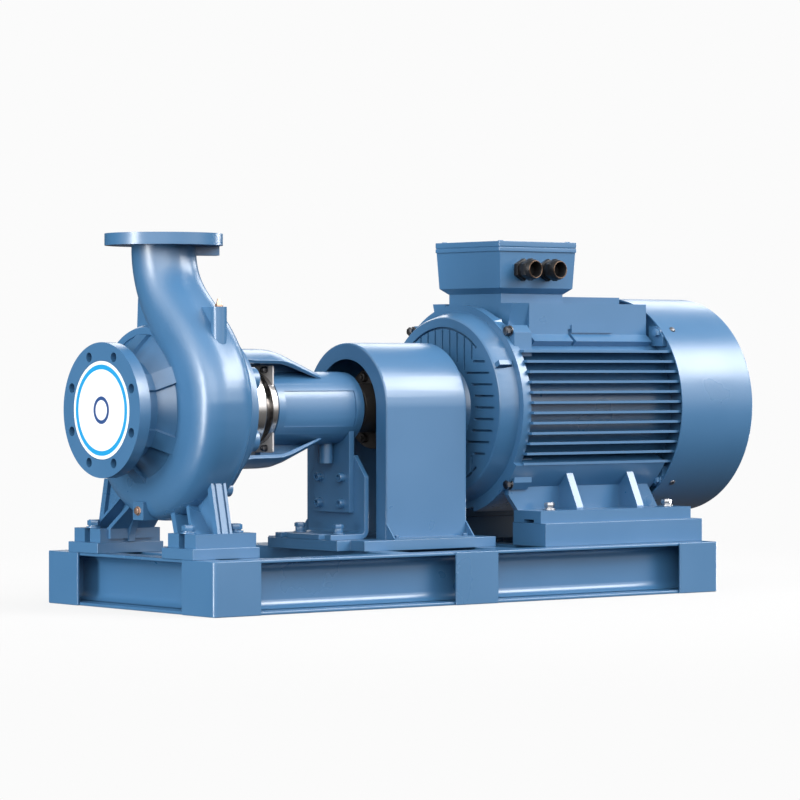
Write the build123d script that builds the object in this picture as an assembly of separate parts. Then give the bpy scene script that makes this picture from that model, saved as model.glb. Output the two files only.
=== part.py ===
from build123d import *
import math
import os

# Centrifugal pump set: end-suction pump, guarded coupling and electric motor on a channel base.
# X runs along the shafts from the suction flange to the fan cover, +Z is up, the floor is Z = 0.
# Distances named "from_suction" are measured along X from the face of the suction flange.
os.makedirs("parts", exist_ok=True)

# Heights
base_height = 100
pump_pad_thickness = 20
pump_centre_height = 250
motor_centre_height = 225
shaft_z = base_height + pump_pad_thickness + pump_centre_height
coupling_plate_thickness = 20
coupling_plate_top = base_height + coupling_plate_thickness

# Base frame
base_length = 1240
base_width = 546
base_from_suction = 60
channel_flange = 48
channel_web = 6
channel_flange_thickness = 8.5
cover_plate_thickness = 5
cover_plate_length = 104
cover_plate_bend = 9
mid_plate_from_suction = 673
cross_channel_positions = (164, 505, 770, 895)

# Pump casing
suction_flange_radius = 125
suction_flange_thickness = 24
suction_bolt_circle_radius = 105
suction_bore_radius = 62.5
suction_bore_depth = 90
suction_cover_radius = 90.5
suction_cover_thickness = 2
discharge_flange_radius = 110
discharge_flange_thickness = 22
discharge_bolt_circle_radius = 90
discharge_bore_radius = 50
discharge_bore_depth = 110
discharge_from_suction = 140
discharge_height = 327
flange_bolt_count = 8
flange_bolt_hole_radius = 9
neck_radius = 60
suction_neck_radius = 97
dish_start_from_suction = 58
dish_depth_from_suction = 99
dish_radius = 139
dish_rim_radius = 153
volute_start_radius = 158
volute_end_radius = 228
volute_start_angle = 82
volute_start_half_width = 38
volute_end_half_width = 60
rear_flange_radius = 184
rear_flange_thickness = 20
rear_flange_from_suction = 192
vent_boss_radius = 14.5
vent_boss_length = 74
vent_boss_from_suction = 137
vent_boss_y = 179
vent_boss_height = 115
vent_web_thickness = 15
vent_web_reach = 60
drain_face_from_suction = 82
drain_boss_side = 34
drain_depth = 187
plug_radius = 7
plug_length = 15
dish_rib_count = 6
dish_rib_width = 34
dish_rib_height = 9
discharge_lug_length = 46
discharge_lug_width = 30
discharge_lug_height = 18
discharge_lug_start = 57
neck_web_thickness = 14
rim_lug_radius = 15
rim_lug_length = 34
rim_lug_angle = 54

# Pump feet. Heights and distances out from the middle of the pump are in pairs (out, up).
pump_foot_length = 136
pump_foot_width = 87
pump_foot_thickness = 26
pump_foot_spread = 153.5
pump_foot_from_suction = 72
pump_foot_bolt_inset = 15
pump_pad_length = 150
pump_pad_width = 99
pump_pad_overhang = 10
pump_bolt_slot = 18
foot_web_from_suction = 131
foot_web_thickness = 14
foot_web_inner_edge = ((102, 121), (101, 135), (81, 173), (68, 202))
foot_web_outer_edge = ((191, 146), (170, 238))
foot_web_top = (120, 262)
foot_edge_flange_width = 33
foot_edge_flange_thickness = 11
foot_flute_width = 12
foot_bead_width = 5.5
foot_flute_height = 3
foot_rib_thickness = 13
foot_rib_inset = 18
foot_rib_line = ((103, 127), (103, 146), (72, 180), (52, 205))
foot_rib_lean = 15
second_rib_thickness = 9
second_rib_out = 52

# Casing cover, seal and bearing bracket
cover_flange_radius = 166
cover_flange_thickness = 18
cover_hub_radius = 128
cover_hub_length = 26
cover_neck_radius = 90
cover_neck_length = 32
stud_boss_radius = 23
stud_boss_length = 30
stud_boss_y = 96
stud_boss_z = 56
seal_ring_length = 26
seal_edge = 2
seal_gland_radius = 45
seal_gland_length = 10
lantern_ring_radius = 146
lantern_radius = 114
lantern_wall = 18
lantern_flare = 2
lantern_arm_half_width = 52
lantern_shoulders = ((302, 114), (365, 113), (392, 106))
lantern_tip_from_suction = 495
bearing_housing_radius = 70
bearing_housing_length = 191
housing_flat_start_from_suction = 373
housing_flat_end_from_suction = 541
housing_flats = ((66, 17), (59, 34))
housing_boss_radius = 14
housing_boss_from_suction = 519
housing_boss_depth = 106
bearing_bracket_end_from_suction = 561
bearing_cap_thickness = 13
bearing_cap_step = 2
cap_plate_thickness = 4
cap_plate_half_height = 82.5
pump_shaft_radius = 24
pump_shaft_stub = 97
slinger_radius = 38
slinger_thickness = 6
running_clearance = 0.05
seat_clearance = 0.3
keyed_clearance = 0.02

# Bearing support
support_width = 176
support_top_width = 108
support_sheet = 10
support_foot_length = 92
support_height = 160
support_shoulder_height = 119
support_bend_radius = 18
support_slot_y = 60
support_slot_length = 48
support_screw_y = 35
support_screw_heights = (187, 237)
support_screw_radius = 7
support_adjustment = 18
foot_plate_width = 110
foot_plate_thickness = 12
foot_plate_bottom = 170
support_from_suction = 556

# Coupling and guard
guard_front_from_suction = 569
guard_length = 199
guard_outer_radius = 126
guard_opening_radius = 94.5
guard_sheet = 3
guard_edge_radius = 4
guard_flare = 26
guard_flare_height = 30
coupling_plate_from_suction = 462
coupling_plate_step_from_suction = 495
coupling_plate_end_from_suction = 820
coupling_plate_width = 304
coupling_plate_nose_width = 220
coupling_hub_radius = 48
coupling_flange_radius = 80
coupling_flange_thickness = 26
coupling_gap = 5
coupling_hub_length = 78

# Motor
motor_face_from_suction = 810
motor_frame_from_suction = 848
motor_frame_end_from_suction = 1262
motor_frame_radius = 212
motor_core_radius = 176
motor_collar_step = 10
motor_fin_thickness = 5
motor_fin_pitch = 20
motor_fin_count = 12
top_fin_count = 5
fin_start_from_suction = 868
fin_root_depth = 6
shield_face_radius = 178
shield_rim_radius = 189
shield_groove_radius = 158
shield_groove_depth = 8
shield_lip_angles = (61, 64, 71)
shield_lip = 3
tie_lug_from_suction = 858
tie_lug_length = 44
tie_lug_inner = 100
tie_lug_side_margin = 13
tie_lug_top_margin = 11
tie_lug_reach = 7
lower_corner_start_angle = 14
lower_corner_end_angle = 58
rail_front_from_suction = 886
rail_start_from_suction = 930
rail_end_from_suction = 1241
rail_setback = 12
rail_inner_y = 84
rail_width = 25
rail_slope = 14
rail_step = 7
rail_bottom = 144
rail_lip = 14
rail_lip_width = 17
rail_notch_from_suction = (1031, 1039)
rail_notch_depth = 4
rail_pad_end_from_suction = 1146
rail_pad_heights = (147, 163)
rail_pad_thickness = 3
deck_margin = 1
top_fin_margin = 8
rear_shield_thickness = 22
rear_lug_inner = 121
rear_lug_length = 12
shield_hub_radius = 82
shield_groove_pitch = 22.5
shield_groove_width = 4.5
motor_shaft_radius = 30
motor_shaft_stub = 143
motor_foot_length = 398
motor_foot_from_suction = 883
motor_foot_outer = 212.5
motor_foot_width = 72
motor_foot_thickness = 24
foot_wall = 12
foot_wall_outer = 144
foot_wall_front = (-24, 30)
foot_wall_rear = (-28, 45)
foot_gusset_positions = (105, 265)
foot_gusset_thickness = 17
foot_gusset_toe = (199, 6)
foot_gusset_top = (164, 122)
foot_pocket_y = (162, 192)
foot_pocket_height = 7
foot_pocket_length = 45
motor_rail_lap = 6
motor_rail_width = 99
motor_rail_from_suction = 884
motor_rail_length = 416

# Fan cover and terminal box
fan_cover_margin = 6.5
fan_cover_from_suction = 1253
fan_cover_length = 197
fan_cover_sheet = 3
fan_cover_corner = 5
fan_radius = 185
fan_shaft_radius = 22
fan_hub_radius = 38
fan_hub_length = 70
fan_disc_radius = 155
fan_disc_thickness = 4
fan_blade_thickness = 5
fan_clearance = 30
fan_blade_count = 8
grille_ring_count = 5
grille_first_radius = 60
grille_pitch = 28
grille_slot = 14
grille_spoke = 14
terminal_box_centre_from_suction = 974
terminal_lid_side = 202
terminal_lid_thickness = 20
terminal_lid_groove_height = 8
terminal_lid_groove = 1.5
terminal_lid_corner = 4
terminal_box_height = 72
terminal_box_taper = 4
terminal_neck_side = 161
terminal_top_height = 327
terminal_bevel = 11
terminal_lid_overhang = 2.5
gland_nut_radius = 22
gland_nut_length = 20
gland_cap_radius = 19
gland_cap_length = 17
gland_waist_radius = 16
gland_hole_radius = 11
gland_mouth_depth = 12
gland_length = 45
gland_drop = 36
gland_offsets = (-41, 23)

overall_length = fan_cover_from_suction + fan_cover_length
suction_x = -overall_length / 2
fan_cover_radius = motor_frame_radius + fan_cover_margin
shaft_axis = Axis((0, 0, shaft_z), (1, 0, 0))


def along(distance):
    """X of a point given by its distance from the suction flange face."""
    return suction_x + distance


def block(x_range, y_range, z_range):
    """Box between two corners, given as three ranges."""
    size = [high - low for low, high in (x_range, y_range, z_range)]
    middle = [(high + low) / 2 for low, high in (x_range, y_range, z_range)]
    return Pos(*middle) * Box(*size)


def round_bar(radius, x_start, x_end, y=0, z=shaft_z):
    """Cylinder that lies along X."""
    bar = Cylinder(radius, x_end - x_start, align=(Align.CENTER, Align.CENTER, Align.MIN))
    return Pos(x_start, y, z) * Rot(0, 90, 0) * bar


def turned(profile):
    """Solid of revolution about the shaft line, from points (x, radius)."""
    outline = [(x, 0, shaft_z + radius) for x, radius in profile]
    return revolve(make_face(Polyline(*outline, close=True)), shaft_axis, 360)


def plate_in_yz(outline, x_start, thickness):
    """Flat plate across the shaft line, from its outline in (y, z)."""
    face = make_face(Polyline(*[(x_start, y, z) for y, z in outline], close=True))
    return extrude(face, thickness, dir=(1, 0, 0))


def plate_in_xz(outline, y_start, thickness):
    """Flat plate along the shaft line, from its outline in (x, z)."""
    face = make_face(Polyline(*[(x, y_start, z) for x, z in outline], close=True))
    return extrude(face, thickness, dir=(0, 1, 0))


def mirrored(shape):
    """The same piece on the other side of the shaft line."""
    return mirror(shape, about=Plane.XZ)


def bolt_ring(count, circle_radius, first_angle):
    """Points (a, b) of a bolt circle."""
    step = 360 / count
    angles = [math.radians(first_angle + step * index) for index in range(count)]
    return [(circle_radius * math.cos(a), circle_radius * math.sin(a)) for a in angles]


def save(shape, name):
    export_step(shape, f"parts/{name}.step")


# Base frame: four channels, open sides outwards
plate_x0 = along(base_from_suction)
plate_x1 = plate_x0 + base_length
plate_y = base_width / 2
base_x0 = plate_x0 + cover_plate_thickness
base_x1 = plate_x1 - cover_plate_thickness
half_width = plate_y - cover_plate_thickness
web_y = half_width - channel_flange


def channel_outline(depth):
    """Channel section as points (out, up), the web at out = 0, flanges reaching out."""
    lip = channel_flange_thickness * 0.7
    root = channel_flange_thickness
    return [(0, 0), (depth, 0), (depth, lip), (channel_web, root), (channel_web, base_height - root),
            (depth, base_height - lip), (depth, base_height), (0, base_height)]


def long_channel():
    outline = [(base_x0, -web_y - out, up) for out, up in channel_outline(channel_flange)]
    return extrude(make_face(Polyline(*outline, close=True)), base_x1 - base_x0, dir=(1, 0, 0))


def end_channel(x_web, direction):
    outline = [(x_web + direction * out, -web_y, up) for out, up in channel_outline(channel_flange)]
    return extrude(make_face(Polyline(*outline, close=True)), 2 * web_y, dir=(0, 1, 0))


save(long_channel(), "base_channel_near")
save(mirrored(long_channel()), "base_channel_far")
save(end_channel(base_x0 + channel_flange, -1), "base_channel_front")
save(end_channel(base_x1 - channel_flange, 1), "base_channel_rear")


def cross_channel(x_web):
    """Inner channel between the long ones, web upright, flanges towards the rear."""
    outline = [(x_web + out, -web_y, up) for out, up in channel_outline(channel_flange)]
    return extrude(make_face(Polyline(*outline, close=True)), 2 * web_y, dir=(0, 1, 0))


for number, position in enumerate(cross_channel_positions, start=1):
    save(cross_channel(along(position)), f"base_cross_channel_{number}")


def corner_plate(x_end, direction):
    """Bent plate that closes the open channel sides at a near corner of the frame."""
    inner = direction * cover_plate_length
    side = block(sorted((x_end, x_end + inner)), (-plate_y, -half_width), (0, base_height))
    end = block(sorted((x_end, x_end + direction * cover_plate_thickness)),
                (-plate_y, -plate_y + cover_plate_length), (0, base_height))
    upright = [edge for edge in (side + end).edges().filter_by(Axis.Z)]
    outer = sorted(upright, key=lambda e: direction * e.center().X + e.center().Y)[0]
    return fillet(outer, cover_plate_bend)


for end_name, x_end, direction in (("front", plate_x0, 1), ("rear", plate_x1, -1)):
    save(corner_plate(x_end, direction), f"base_corner_plate_{end_name}_near")
    save(mirrored(corner_plate(x_end, direction)), f"base_corner_plate_{end_name}_far")

mid_x = along(mid_plate_from_suction)
mid_plate = block((mid_x - cover_plate_length / 2, mid_x + cover_plate_length / 2),
                  (-plate_y, -half_width), (0, base_height))
save(mid_plate, "base_middle_plate_near")
save(mirrored(mid_plate), "base_middle_plate_far")

# Pads and rails on top of the frame
pad_x0 = along(pump_foot_from_suction) - pump_pad_overhang
pump_pad = block((pad_x0, pad_x0 + pump_pad_length),
                 (-pump_foot_spread - pump_pad_width / 2, -pump_foot_spread + pump_pad_width / 2),
                 (base_height, base_height + pump_pad_thickness))
save(pump_pad, "pump_foot_pad_near")
save(mirrored(pump_pad), "pump_foot_pad_far")

coupling_plate = block((along(coupling_plate_step_from_suction), along(coupling_plate_end_from_suction)),
                       (-coupling_plate_width / 2, coupling_plate_width / 2),
                       (base_height, coupling_plate_top))
coupling_plate += block((along(coupling_plate_from_suction), along(coupling_plate_step_from_suction)),
                        (-coupling_plate_nose_width / 2, coupling_plate_nose_width / 2),
                        (base_height, coupling_plate_top))
save(coupling_plate, "coupling_base_plate")

rail_top = shaft_z - motor_centre_height
rail_x = (along(motor_rail_from_suction), along(motor_rail_from_suction) + motor_rail_length)
motor_rail_outer = web_y + motor_rail_lap
motor_rail = block(rail_x, (-motor_rail_outer, -motor_rail_outer + motor_rail_width),
                   (base_height, rail_top))
save(motor_rail, "motor_rail_near")
save(mirrored(motor_rail), "motor_rail_far")

# Volute casing. Sections stand in planes that hold the X direction. Each is given by its centre
# (y, z), the direction of flow, half width along X, half depth across it and its squareness.
volute_x = along(discharge_from_suction)
volute_inner_radius = 90
section_points = 16


def casing_section(y, z, flow_angle, half_width_x, half_depth, power):
    across = (-math.sin(flow_angle), math.cos(flow_angle))
    points = []
    for index in range(section_points):
        turn = 2 * math.pi * index / section_points
        c, s = math.cos(turn), math.sin(turn)
        reach = (abs(c) ** power + abs(s) ** power) ** (-1 / power)
        depth = half_depth * reach * s
        points.append((volute_x + half_width_x * reach * c, y + depth * across[0], z + depth * across[1]))
    return make_face(Spline(*points, periodic=True))


def volute_sections():
    """From the tongue over the far side and the bottom to the throat on the near side."""
    sections = []
    steps = 8
    for index in range(steps + 1):
        share = index / steps
        angle = math.radians(volute_start_angle + (360 - volute_start_angle) * share)
        outer = volute_start_radius + (volute_end_radius - volute_start_radius) * share
        half_x = volute_start_half_width + (volute_end_half_width - volute_start_half_width) * share
        centre = (outer + volute_inner_radius) / 2
        y, z = -centre * math.cos(angle), shaft_z + centre * math.sin(angle)
        flow = math.atan2(math.cos(angle), math.sin(angle))
        sections.append(casing_section(y, z, flow, half_x, (outer - volute_inner_radius) / 2, 2.9))
    return sections


throat_y = -(volute_end_radius + volute_inner_radius) / 2
throat_depth = (volute_end_radius - volute_inner_radius) / 2
discharge_z = shaft_z + discharge_height
neck_top_z = discharge_z - discharge_flange_thickness
neck_rise_start = 150
neck_rise_end = 150


def neck_point(t):
    """Centre line of the swan neck as a cubic curve in (y, z), with its flow direction."""
    guide = [(throat_y, shaft_z), (throat_y, shaft_z + neck_rise_start),
             (0, neck_top_z - neck_rise_end), (0, neck_top_z)]
    weights = [(1 - t) ** 3, 3 * t * (1 - t) ** 2, 3 * t * t * (1 - t), t ** 3]
    slopes = [3 * (1 - t) ** 2, 6 * t * (1 - t), 3 * t * t]
    y = sum(w * p[0] for w, p in zip(weights, guide))
    z = sum(w * p[1] for w, p in zip(weights, guide))
    dy = sum(s * (guide[i + 1][0] - guide[i][0]) for i, s in enumerate(slopes))
    dz = sum(s * (guide[i + 1][1] - guide[i][1]) for i, s in enumerate(slopes))
    return y, z, math.atan2(dz, dy)


def neck_sections():
    sections = []
    for t in (0.2, 0.4, 0.6, 0.8, 1.0):
        y, z, flow = neck_point(t)
        half_x = volute_end_half_width + (neck_radius - volute_end_half_width) * t
        depth = throat_depth + (neck_radius - throat_depth) * t
        sections.append(casing_section(y, z, flow, half_x, depth, 2.9 - 0.9 * min(1, t * 1.3)))
    return sections


def make_volute_casing():
    spiral = volute_sections()
    body = loft(spiral) + loft([spiral[-1]] + neck_sections())
    # Suction flange, neck, dished front wall and the round core with the rear flange
    rear_x = rear_flange_from_suction
    core_radius = dish_rim_radius - 3
    profile = [(0, 0), (0, suction_flange_radius), (suction_flange_thickness, suction_flange_radius),
               (suction_flange_thickness, suction_neck_radius),
               (dish_start_from_suction, suction_neck_radius + 1),
               (dish_depth_from_suction, dish_radius), (dish_depth_from_suction - 3, dish_radius + 1),
               (dish_depth_from_suction - 3, dish_rim_radius), (dish_depth_from_suction + 8, dish_rim_radius + 3),
               (rear_x - 8, dish_rim_radius + 10), (rear_x, rear_flange_radius),
               (rear_x + rear_flange_thickness, rear_flange_radius),
               (rear_x + rear_flange_thickness, 0)]
    body += turned([(along(x), r) for x, r in profile])
    # Ribs on the dished wall
    for index in range(dish_rib_count):
        angle = 360 / dish_rib_count * index
        rib = plate_in_xz([(along(suction_flange_thickness), suction_neck_radius - 4),
                           (along(suction_flange_thickness), suction_neck_radius + 6),
                           (along(dish_start_from_suction - 4), suction_neck_radius + 7),
                           (along(dish_depth_from_suction - dish_rib_height), dish_radius),
                           (along(dish_depth_from_suction + 4), dish_radius),
                           (along(dish_depth_from_suction + 4), suction_neck_radius - 4)],
                          -dish_rib_width / 2, dish_rib_width)
        body += Pos(0, 0, shaft_z) * Rot(angle, 0, 0) * rib
    # Discharge flange with the lug under it
    flange = Cylinder(discharge_flange_radius, discharge_flange_thickness,
                      align=(Align.CENTER, Align.CENTER, Align.MAX))
    body += Pos(volute_x, 0, discharge_z) * flange
    lug = Box(discharge_lug_length, discharge_lug_width, discharge_lug_height,
              align=(Align.MIN, Align.CENTER, Align.MAX))
    body += Pos(volute_x, 0, neck_top_z) * Rot(0, 0, -22.5) * Pos(discharge_lug_start, 0, 0) * lug
    # Web between the neck and the top of the volute on the far side
    web = [(0, shaft_z + 140), (78, shaft_z + 135), (74, shaft_z + 208), (30, shaft_z + 215),
           (-40, shaft_z + 180)]
    body += plate_in_yz(web, volute_x - neck_web_thickness / 2, neck_web_thickness)
    # Screw lugs low on the rim of the rear flange
    for side in (-1, 1):
        turn = math.radians(rim_lug_angle)
        body += round_bar(rim_lug_radius, along(rear_x + rear_flange_thickness - rim_lug_length),
                          along(rear_x + rear_flange_thickness),
                          side * (rear_flange_radius - 4) * math.cos(turn),
                          shaft_z - (rear_flange_radius - 4) * math.sin(turn))
    # Vent boss beside the neck and drain boss under the volute
    boss = Cylinder(vent_boss_radius, vent_boss_length, align=(Align.CENTER, Align.CENTER, Align.MIN))
    boss_foot = (along(vent_boss_from_suction), -vent_boss_y, shaft_z + vent_boss_height)
    body += Pos(*boss_foot) * (boss + Sphere(vent_boss_radius))
    boss_x, half_web = along(vent_boss_from_suction), vent_web_thickness / 2
    body += block((boss_x - half_web, boss_x + half_web), (-vent_boss_y, vent_web_reach - vent_boss_y),
                  (shaft_z + vent_boss_height, shaft_z + vent_boss_height + vent_boss_length))
    body += block((along(drain_face_from_suction), volute_x), (-drain_boss_side / 2, drain_boss_side / 2),
                  (shaft_z - drain_depth - drain_boss_side / 2, shaft_z - drain_depth + drain_boss_side / 2))
    body += make_pump_foot(-1) + make_pump_foot(1)
    # Bores and bolt holes
    body -= round_bar(suction_bore_radius, along(0), along(suction_bore_depth))
    body -= round_bar(suction_cover_radius + seat_clearance, along(0), along(suction_cover_thickness))
    bore = Cylinder(discharge_bore_radius, discharge_bore_depth, align=(Align.CENTER, Align.CENTER, Align.MAX))
    body -= Pos(volute_x, 0, discharge_z) * bore
    for y, z in bolt_ring(flange_bolt_count, suction_bolt_circle_radius, 22.5):
        body -= round_bar(flange_bolt_hole_radius, along(0), along(suction_flange_thickness), y, shaft_z + z)
    for x, y in bolt_ring(flange_bolt_count, discharge_bolt_circle_radius, 22.5):
        hole = Cylinder(flange_bolt_hole_radius, discharge_flange_thickness,
                        align=(Align.CENTER, Align.CENTER, Align.MAX))
        body -= Pos(volute_x + x, y, discharge_z) * hole
    return body


def make_pump_foot(side):
    """Slotted block, upright web across X with a fluted edge flange, and two ribs that lean inwards."""
    x0 = along(pump_foot_from_suction)
    x1 = x0 + pump_foot_length
    z0 = base_height + pump_pad_thickness
    z1 = z0 + pump_foot_thickness
    inner = pump_foot_spread - pump_foot_width / 2
    outer = pump_foot_spread + pump_foot_width / 2
    half_slot = pump_bolt_slot / 2
    foot = block((x0, x1), (inner, outer), (z0, z1))
    for x_end, x_bolt in ((x0, x0 + pump_foot_bolt_inset), (x1, x1 - pump_foot_bolt_inset)):
        foot -= block(sorted((x_end, x_bolt)), (pump_foot_spread - half_slot, pump_foot_spread + half_slot), (z0, z1))
        round_end = Cylinder(half_slot, z1 - z0, align=(Align.CENTER, Align.CENTER, Align.MIN))
        foot -= Pos(x_bolt, pump_foot_spread, z0) * round_end
    web_x = along(foot_web_from_suction)
    (toe_y, toe_z), (top_y, top_z) = foot_web_outer_edge
    web = list(foot_web_inner_edge) + [foot_web_top, (top_y, top_z), (toe_y, toe_z - 1), (toe_y, toe_z - 20)]
    foot += plate_in_yz(web, web_x, foot_web_thickness)
    flange_x = web_x + (foot_web_thickness - foot_edge_flange_width) / 2 + 2
    middle = foot_edge_flange_width / 2
    bead = foot_bead_width / 2
    ridges = ((middle, foot_edge_flange_width, 0), (middle, foot_flute_width, foot_flute_height),
              (bead, foot_bead_width, foot_flute_height),
              (foot_edge_flange_width - bead, foot_bead_width, foot_flute_height))
    for place, width, reach in ridges:
        edge = [(toe_y - foot_edge_flange_thickness, toe_z - 1), (toe_y + reach, toe_z - 1),
                (top_y + reach, top_z), (top_y - foot_edge_flange_thickness, top_z)]
        foot += plate_in_yz(edge, flange_x + place - width / 2, width)
    # Leaning ribs: the inner one runs from the front of the foot to its rear, the other to the web
    rib_x0 = x0 + foot_rib_inset
    for out, thickness, rib_x1 in ((0, foot_rib_thickness, x1 - foot_rib_inset),
                                   (second_rib_out, second_rib_thickness, web_x + 1)):
        line = [(y + out, z) for y, z in foot_rib_line]
        strip = line + [(y + thickness, z) for y, z in reversed(line)]
        rib = plate_in_yz(strip, rib_x0, rib_x1 - rib_x0)
        front = [(rib_x0, foot_rib_line[1][1]), (rib_x0 + 2 * foot_rib_lean, foot_rib_line[3][1] + 10),
                 (rib_x0, foot_rib_line[3][1] + 10)]
        foot += rib - plate_in_xz(front, 0, outer)
    return foot if side > 0 else mirrored(foot)


volute_casing = make_volute_casing()
save(volute_casing, "volute_casing")
save(round_bar(suction_cover_radius, along(0), along(suction_cover_thickness)), "suction_cover")
rear_face = rear_flange_from_suction + rear_flange_thickness


def make_plugs():
    """Vent plug on its boss and drain plug in the volute boss."""
    vent = Cylinder(plug_radius, plug_length, align=(Align.CENTER, Align.CENTER, Align.MIN))
    vent = Pos(along(vent_boss_from_suction), -vent_boss_y, shaft_z + vent_boss_height + vent_boss_length) * vent
    face = along(drain_face_from_suction)
    drain = round_bar(plug_radius, face - plug_length / 3, face, 0, shaft_z - drain_depth)
    return Compound([vent - volute_casing, drain - volute_casing])


save(make_plugs(), "casing_plugs")

# Casing cover with hub and stud bosses, then the seal cover
cover_end = rear_face + cover_flange_thickness
hub_end = cover_end + cover_hub_length
seal_face = hub_end + cover_neck_length
seal_end = seal_face + seal_ring_length + seal_gland_length
shaft_bore_radius = pump_shaft_radius + running_clearance


def make_casing_cover():
    profile = [(rear_face, 0), (rear_face, cover_flange_radius), (cover_end, cover_flange_radius),
               (cover_end, cover_hub_radius), (hub_end - 4, cover_hub_radius), (hub_end, cover_hub_radius - 4),
               (hub_end, cover_neck_radius), (seal_face, cover_neck_radius), (seal_face, 0)]
    cover = turned([(along(x), r) for x, r in profile])
    for side in (-1, 1):
        for up in (-1, 1):
            cover += round_bar(stud_boss_radius, along(hub_end), along(hub_end + stud_boss_length),
                               side * stud_boss_y, shaft_z + up * stud_boss_z)
    return cover - round_bar(shaft_bore_radius, along(hub_end), along(seal_face))


def make_seal_cover():
    """Machined ring that closes the seal chamber, with the gland of the shaft seal in its middle."""
    ring_end = seal_face + seal_ring_length
    profile = [(seal_face, 0), (seal_face, cover_neck_radius), (ring_end - seal_edge, cover_neck_radius),
               (ring_end, cover_neck_radius - seal_edge), (ring_end, seal_gland_radius),
               (seal_end, seal_gland_radius), (seal_end, 0)]
    ring = turned([(along(x), r) for x, r in profile])
    return ring - round_bar(shaft_bore_radius, along(seal_face), along(seal_end))


save(make_casing_cover(), "casing_cover")
save(make_seal_cover(), "seal_cover")

# Bearing bracket: ring on the casing cover, cone with two side windows, bearing housing
housing_end = bearing_bracket_end_from_suction - bearing_cap_thickness
housing_start = housing_end - bearing_housing_length
window_start = hub_end


def side_window(side):
    """Cutter for one side window: all beside the arms, down to the bearing housing."""
    reach = 2 * cover_flange_radius
    cutter = block((along(window_start), along(housing_end)), sorted((side * lantern_arm_half_width, side * reach)),
                   (shaft_z - reach, shaft_z + reach))
    return cutter - round_bar(bearing_housing_radius, along(housing_start), along(housing_end))


def housing_flats_cutter(side):
    """Three flats along one side of the bearing housing: one upright, one slanted above and below it."""
    (middle_y, middle_z), (edge_y, edge_z) = housing_flats
    outside = 2 * bearing_housing_radius
    upper = [(middle_y, middle_z), (edge_y, edge_z), (outside, edge_z)]
    outline = upper + [(y, -z) for y, z in reversed(upper)]
    return plate_in_yz([(side * y, shaft_z + z) for y, z in outline], along(housing_flat_start_from_suction),
                       housing_flat_end_from_suction - housing_flat_start_from_suction)


def make_bearing_bracket():
    outer = [(cover_end, lantern_ring_radius), (window_start - 4, lantern_ring_radius),
             (window_start + 12, lantern_radius + 4)]
    outer += [*lantern_shoulders, (lantern_tip_from_suction, bearing_housing_radius),
              (housing_end, bearing_housing_radius)]
    inner_radius = lantern_radius - lantern_wall
    ring_bore = cover_hub_radius + seat_clearance
    inner = [(housing_end, shaft_bore_radius), (housing_start, shaft_bore_radius),
             (housing_start, inner_radius), (window_start, inner_radius + lantern_flare),
             (window_start, ring_bore), (cover_end, ring_bore)]
    bracket = turned([(along(x), r) for x, r in outer + inner])
    for side in (-1, 1):
        bracket -= side_window(side)
        bracket -= housing_flats_cutter(side)
    boss = Cylinder(housing_boss_radius, housing_boss_depth - bearing_housing_radius / 2,
                    align=(Align.CENTER, Align.CENTER, Align.MIN))
    bracket += Pos(along(housing_boss_from_suction), 0, shaft_z - housing_boss_depth) * boss
    return bracket


def bearing_cap(radius, x_start):
    cap = round_bar(radius, along(x_start), along(x_start + bearing_cap_thickness))
    return cap - round_bar(shaft_bore_radius, along(x_start), along(x_start + bearing_cap_thickness))


def make_pump_side_cap():
    """Bare cap on a plate that spans the two arms."""
    x_start = housing_start - bearing_cap_thickness
    half_width = lantern_arm_half_width
    plate = block((along(housing_start - cap_plate_thickness), along(housing_start)), (-half_width, half_width),
                  (shaft_z - cap_plate_half_height, shaft_z + cap_plate_half_height))
    cap = bearing_cap(bearing_housing_radius - bearing_cap_step, x_start) + plate
    cap -= round_bar(shaft_bore_radius, along(x_start), along(housing_start))
    return cap & round_bar(lantern_radius - lantern_wall - seat_clearance, along(x_start), along(housing_start))


save(make_bearing_bracket(), "bearing_bracket")
save(make_pump_side_cap(), "bearing_cap_pump_side")
save(bearing_cap(bearing_housing_radius - 1, housing_end), "bearing_cap_coupling_side")

# Support under the bearing housing: a foot plate bolted to a bent sheet with open slots
support_x = along(support_from_suction)


def make_support_foot_plate():
    x0, x1 = support_x - support_sheet - foot_plate_thickness, support_x - support_sheet
    plate = block((x0, x1), (-foot_plate_width / 2, foot_plate_width / 2), (foot_plate_bottom, shaft_z))
    for y in (-support_screw_y, support_screw_y):
        for z in support_screw_heights:
            plate -= round_bar(support_screw_radius, x0, x1, y, z)
    return plate - round_bar(bearing_housing_radius + 0.1, x0, x1)


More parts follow.
